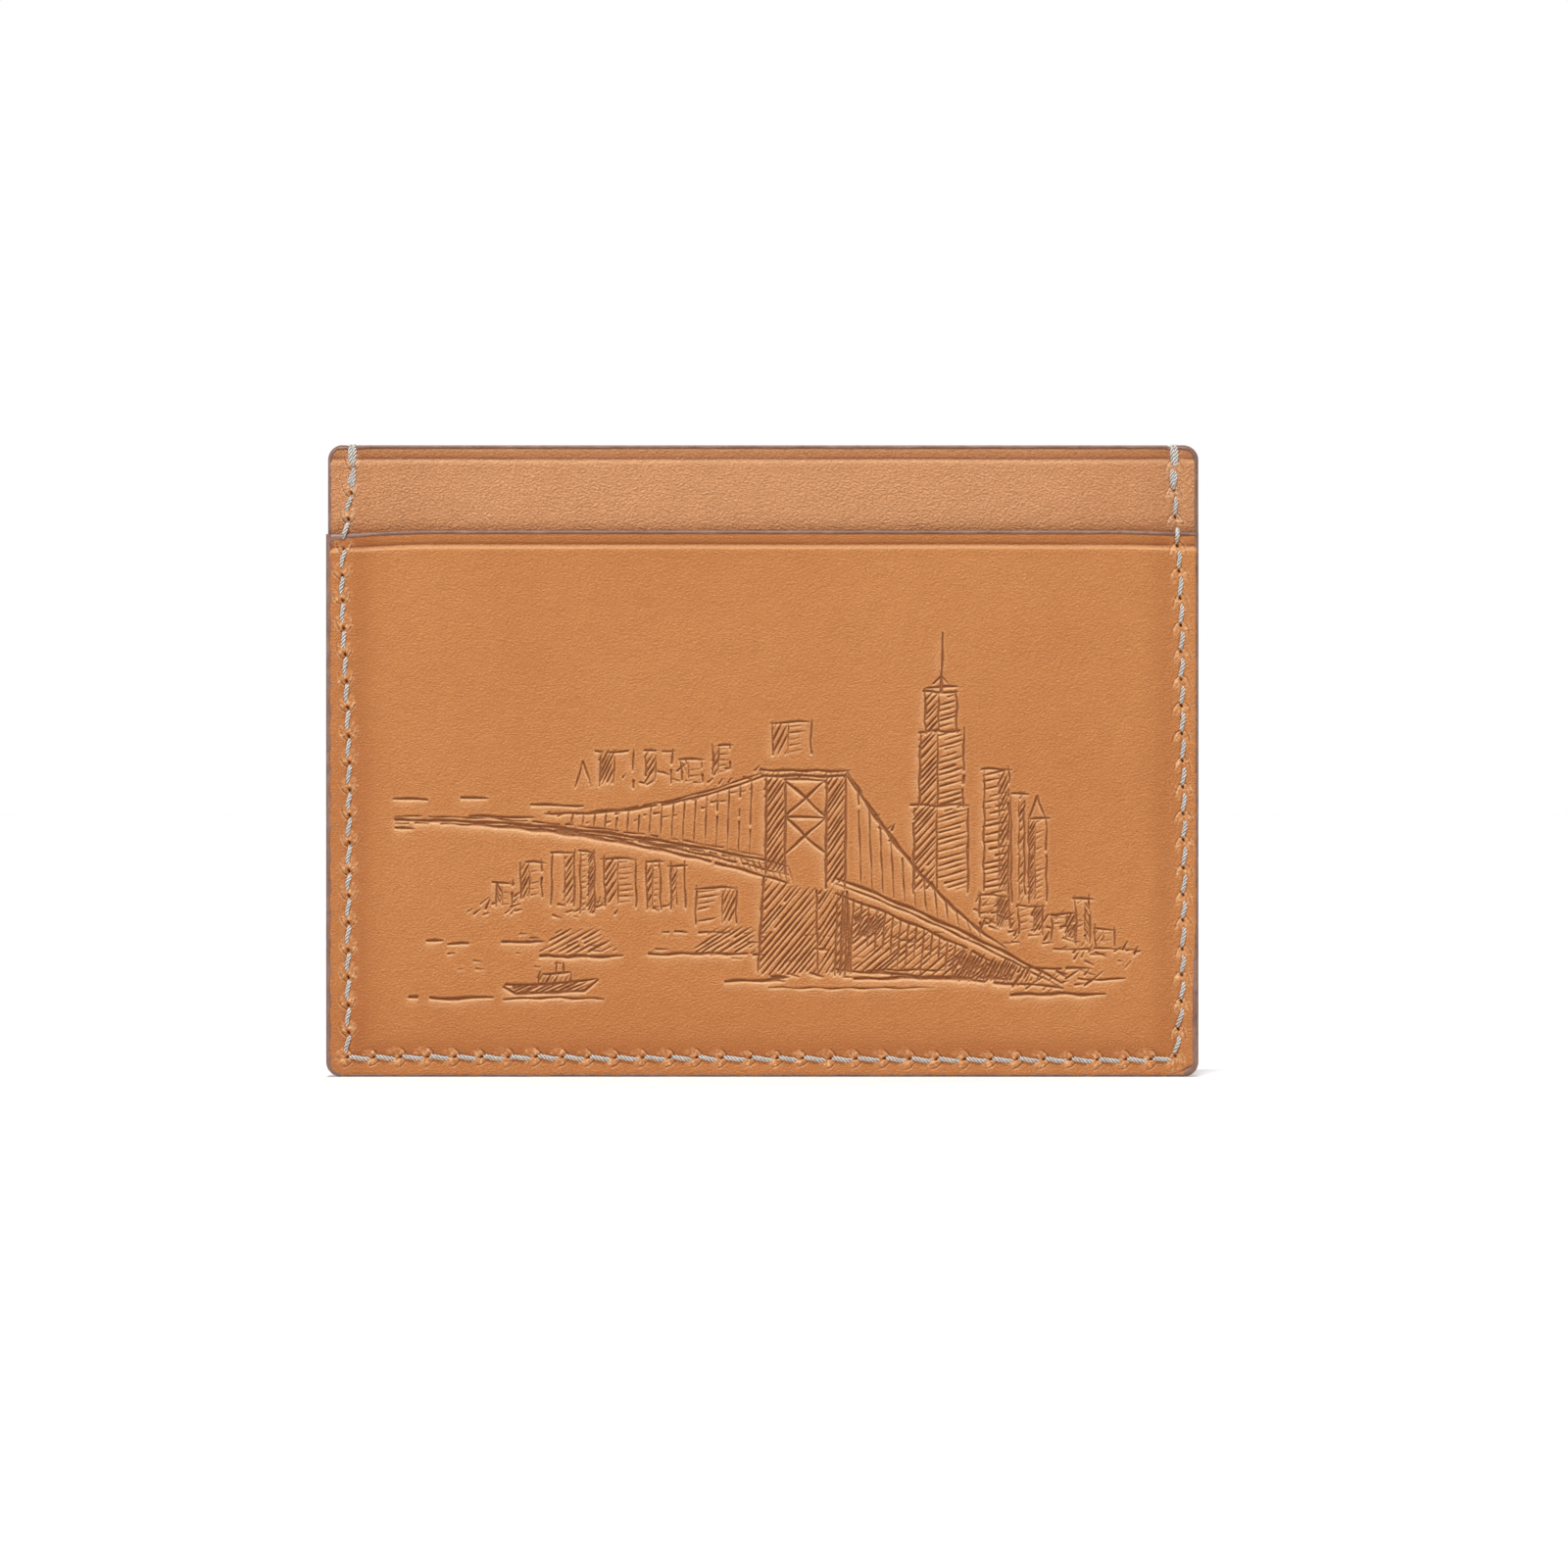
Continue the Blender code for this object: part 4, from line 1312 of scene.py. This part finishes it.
def mouth_profile(front, back, reach_front, reach_back):
    """A mouth's rounded bead, from the front border over the top to the back one."""
    middle, half = (front + back) / 2, (back - front) / 2 + PAINT_PROUD - MOUTH_SINK * 0.5
    made = []
    for i in range(21):
        angle = math.pi * i / 20
        y = middle - half * math.cos(angle)
        reach = reach_front if angle < math.pi / 2 else reach_back
        made.append((reach * (1 - math.sin(angle) ** 0.8), y))
    return made


# ---- the thread


def stitch_y(side, z):
    """Where a strand's middle lies on the front (-1) or the back (1)."""
    face, sunk = (FRONT, PILLOW) if z < POCKET_TOP - 0.1 else (FRONT_BODY_FACE, BODY_PILLOW)
    return -side * (face + sunk + THREAD_SINK)


def strand_point(side, hole, along, inwards, s, t, rise):
    """A point s along the seam and t inwards from a hole, and rise above the face (below it if negative)."""
    x = hole.x + along.x * s + inwards.x * t
    z = hole.y + along.y * s + inwards.y * t
    return Vector((x, stitch_y(side, z) + side * rise, z))


def stitch(side, k):
    """One stitch from hole k to the next: out of the slit's far end, along the face, and in again."""
    (hole, along, inwards), (following, next_along, next_inwards) = HOLES[k], HOLES[k + 1]
    lean = 0.13 if side < 0 else -0.13
    start = end = (0.42 if along.y == 0 else 0.6) if side < 0 else 0.3
    a = strand_point(side, hole, along, inwards, start, lean, -0.75)
    b = strand_point(side, hole, along, inwards, start + 0.12, lean, -0.1)
    y_end = strand_point(side, following, next_along, next_inwards, 0, 0, 0)
    chord = Vector((following.x - hole.x, 0, following.y - hole.y))
    way = chord.normalized()
    across = Vector((-way.z, 0, way.x))
    if across.x * inwards.x + across.z * inwards.y < 0:
        across.negate()
    tail = Vector((following.x, 0, following.y)) - way * end - across * lean
    c = Vector((tail.x, y_end.y, tail.z)) - way * 0.7
    d = Vector((tail.x, y_end.y - side * 0.62, tail.z)) + way * 0.15
    middle = (b + c) / 2 + Vector((0, side * 0.1, 0))
    rest = [b.lerp(middle, 0.5) + Vector((0, side * 0.05, 0)), middle, c, d]
    low, high = sorted((hole.y, following.y))
    if low < POCKET_TOP < high:
        # This one climbs over the pocket's edge
        near, far = (b, c) if b.z > c.z else (c, b)
        step = abs(FRONT) - abs(FRONT_BODY_FACE)
        over = []
        for above, rise in ((0.85, 0.35 * step), (0.3, step - 0.05), (-0.35, step + 0.02)):
            z = POCKET_TOP + above
            share = (near.z - z) / (near.z - far.z)
            if 0 < share < 1:
                x = near.x + (far.x - near.x) * share
                over.append(Vector((x, side * (abs(FRONT_BODY_FACE) - BODY_PILLOW + rise), z)))
        rest = (over if b is near else over[::-1]) + [c, d]
    return [a, b] + rest


def over_top(side, hole, inwards, lane):
    """Out of the top hole on one face, over the top edge in its own lane, and into the hole on the other."""
    face = abs(stitch_y(side, HEIGHT))
    half = [(0.25, -0.25, -0.7), (0.4, 0.12, -0.12), (0.75, 0.5, 0.06), (0.95, 1.15, 0.12)]
    half += [(1.0, TOP_HOLE_DROP - below, rise) for below, rise in ((0.6, 0.0), (0.28, -0.3), (0.14, -0.7))]
    points = []
    for way, part in ((side, half), (-side, half[::-1])):
        for share, up, rise in part:
            points.append(Vector((hole.x + inwards.x * lane * share, way * (face + rise), hole.y + up)))
    return points


def laid_back(side, k):
    """A second strand beside the stitch from hole k, run back towards that hole in a shallow bow."""
    (hole, _, inwards), (following, _, _) = HOLES[k], HOLES[k + 1]
    points = []
    for share, rise in ((0.08, -0.75), (0.16, -0.12), (0.36, 0.12), (0.6, 0.12), (0.8, -0.1), (0.88, -0.75)):
        at = hole.lerp(following, share)
        t = 0.3 * math.sin(math.pi * share) ** 0.7
        x, z = at.x + inwards.x * t, at.y + inwards.y * t
        points.append(Vector((x, stitch_y(side, z) + side * rise, z)))
    return points[::-1]


def thread_routes():
    """Both threads: each runs on the front for every other stitch and on the back between."""
    last = len(HOLES) - 1
    routes = []
    for first, lane in ((0, -0.22), (1, 0.24)):
        top, _, inwards = HOLES[0]
        side = 1 if first == 0 else -1
        route = laid_back(side, 0) + over_top(side, top, inwards, lane)
        for k in range(last):
            route += stitch(-1 if k % 2 == first else 1, k)
        top, _, inwards = HOLES[last]
        side = -1 if (last - 1) % 2 == first else 1
        route += over_top(side, top, inwards, -lane) + laid_back(-side, last - 1)
        routes.append(route)
    return routes


def curve_points(route, shown, hidden):
    """A smooth curve through the route, stepped finely where it shows and coarsely inside the layers."""
    made = []
    ends = [route[0] * 2 - route[1]] + route + [route[-1] * 2 - route[-2]]
    for p0, p1, p2, p3 in zip(ends, ends[1:], ends[2:], ends[3:]):
        length = (p2 - p1).length
        inside = abs(p1.y) < 1.0 and abs(p2.y) < 1.0 and max(p1.z, p2.z) < HEIGHT - 1.2
        steps = max(1, int(length / (hidden if inside or length > 3.6 else shown)))
        for i in range(steps):
            t = i / steps
            a = p1 * 2
            b = p2 - p0
            c = p0 * 2 - p1 * 5 + p2 * 4 - p3
            d = p1 * 3 - p0 - p2 * 3 + p3
            made.append((a + b * t + c * t * t + d * t * t * t) * 0.5)
    return made + [route[-1]]


def twisted(name, route):
    """Plies laid round each other in a right-handed twist, along a route."""
    points = curve_points(route, 0.1, 0.6)
    clean = [points[0]]
    for p in points[1:]:
        if (p - clean[-1]).length > 0.02:
            clean.append(p)
    shape_points, faces, fibres = [], [], []
    around = zip(clean[:1] + clean, clean[1:] + clean[-1:])
    tangents = [(after - before).normalized() for before, after in around]
    normal = tangents[0].orthogonal().normalized()
    travelled = 0.0
    rings = len(clean)
    for i, p in enumerate(clean):
        tangent = tangents[i]
        normal = (normal - tangent * normal.dot(tangent)).normalized()
        other = tangent.cross(normal)
        if i:
            travelled += (p - clean[i - 1]).length
        for j in range(PLIES):
            turn = math.tau * (travelled / TWIST + j / PLIES)
            centre = p + (normal * math.cos(turn) + other * math.sin(turn)) * PLY_OFFSET
            for m in range(PLY_SIDES):
                a = math.tau * m / PLY_SIDES
                rim = (normal * math.cos(a + turn) + other * math.sin(a + turn)) * PLY_RADIUS
                shape_points.append((centre + rim) * MM)
                # The third value is 1 on a ply's outer side and 0 where it meets the others; the thread's
                # material paints shade from it
                fibres.append((travelled, m / PLY_SIDES * 2 + j * 5, 0.5 + 0.5 * math.cos(a)))
    row = PLIES * PLY_SIDES
    for i in range(rings - 1):
        for j in range(PLIES):
            start = i * row + j * PLY_SIDES
            for m in range(PLY_SIDES):
                a, b = start + m, start + (m + 1) % PLY_SIDES
                faces.append((a, b, b + row, a + row))
    for j in range(PLIES):
        faces.append([j * PLY_SIDES + m for m in range(PLY_SIDES)][::-1])
        faces.append([(rings - 1) * row + j * PLY_SIDES + m for m in range(PLY_SIDES)])
    mesh = bpy.data.meshes.new(name)
    mesh.from_pydata(shape_points, [], faces)
    layer = mesh.attributes.new("fibre", "FLOAT_VECTOR", "POINT")
    layer.data.foreach_set("vector", np.array(fibres, np.float32).ravel())
    mesh.update()
    mesh.shade_smooth()
    return mesh


def make_threads():
    for word, route in zip("ab", thread_routes()):
        name = "linen_thread_" + word
        place(name, twisted(name, route), LINEN, "saddle_thread_" + word)


# ---- floor, light and camera


def make_stage():
    n = Nodes("studio_floor")
    tone = n.noise(n.place(), 0.004, 2.0)
    colour = n.layers((0.9, 0.9, 0.9, 1), (tone, (0.94, 0.94, 0.94, 1)))
    n.finish(Base_Color=colour, Roughness=0.9, Specular_IOR_Level=0.1)
    shape = bmesh.new()
    bmesh.ops.create_grid(shape, x_segments=8, y_segments=8, size=12.0)
    mesh = bpy.data.meshes.new("studio_floor")
    shape.to_mesh(mesh)
    shape.free()
    mesh.materials.append(n.material)
    floor = add_object("studio_floor", mesh)
    floor.location.z = CAD_LOW.z - 0.02 * MM


def add_light(name, kind, energy, target, offset, size=0.3, shadow=True):
    """A light at an offset from the point that it faces."""
    lamp = bpy.data.lights.new(name, kind)
    lamp.energy = energy
    if kind == "AREA":
        lamp.shape = "RECTANGLE"
        lamp.size = lamp.size_y = size
    else:
        lamp.angle = size
    lamp.use_shadow = shadow
    obj = add_object(name, lamp)
    obj.location = target + Vector(offset)
    obj.rotation_euler = (-Vector(offset)).to_track_quat("-Z", "Y").to_euler()


def make_lights():
    """A high sun, a soft box, a fill from behind, and a dim world that the camera sees as white."""
    centre = (CAD_LOW + CAD_HIGH) / 2
    add_light("key_sun", "SUN", KEY_SUN, centre, (-0.03, -0.5, 0.95), math.radians(8))
    add_light("left_softbox", "AREA", LEFT_SOFTBOX, centre, (-0.45, -0.45, 0.45), 0.3, shadow=False)
    add_light("back_fill", "SUN", BACK_FILL, centre, (0.3, 0.8, 0.5), math.radians(40))
    world = bpy.data.worlds.new("studio")
    bpy.context.scene.world = world
    world.use_nodes = True
    tree = world.node_tree
    light = tree.nodes["Background"]
    seen = tree.nodes.new("ShaderNodeBackground")
    for shader, strength in ((light, WORLD_LIGHT), (seen, 1.0)):
        shader.inputs["Color"].default_value = (1, 1, 1, 1)
        shader.inputs["Strength"].default_value = strength
    path = tree.nodes.new("ShaderNodeLightPath")
    mix = tree.nodes.new("ShaderNodeMixShader")
    tree.links.new(path.outputs["Is Camera Ray"], mix.inputs["Fac"])
    tree.links.new(light.outputs[0], mix.inputs[1])
    tree.links.new(seen.outputs[0], mix.inputs[2])
    tree.links.new(mix.outputs[0], tree.nodes["World Output"].inputs["Surface"])


def make_camera():
    """Square on to the front. The card holder sits a little low and to the left in the picture."""
    lens = bpy.data.cameras.new("camera")
    lens.sensor_width = 36
    lens.lens = lens.sensor_width * CAMERA_DISTANCE / (WIDTH * PICTURE_WIDTH * MM)
    lens.clip_end = 30
    camera = add_object("camera", lens)
    across, up = WIDTH * PICTURE_CENTRE_X * MM, HEIGHT * PICTURE_CENTRE_Z * MM
    camera.location = (across, FRONT * MM - CAMERA_DISTANCE, up)
    camera.rotation_euler = (math.pi / 2, 0, 0)
    bpy.context.scene.camera = camera
    bpy.context.scene.view_settings.view_transform = "Standard"


make_camera()
make_stage()
make_lights()
make_panels()
make_side_coats()
make_mouth_coats()
make_threads()
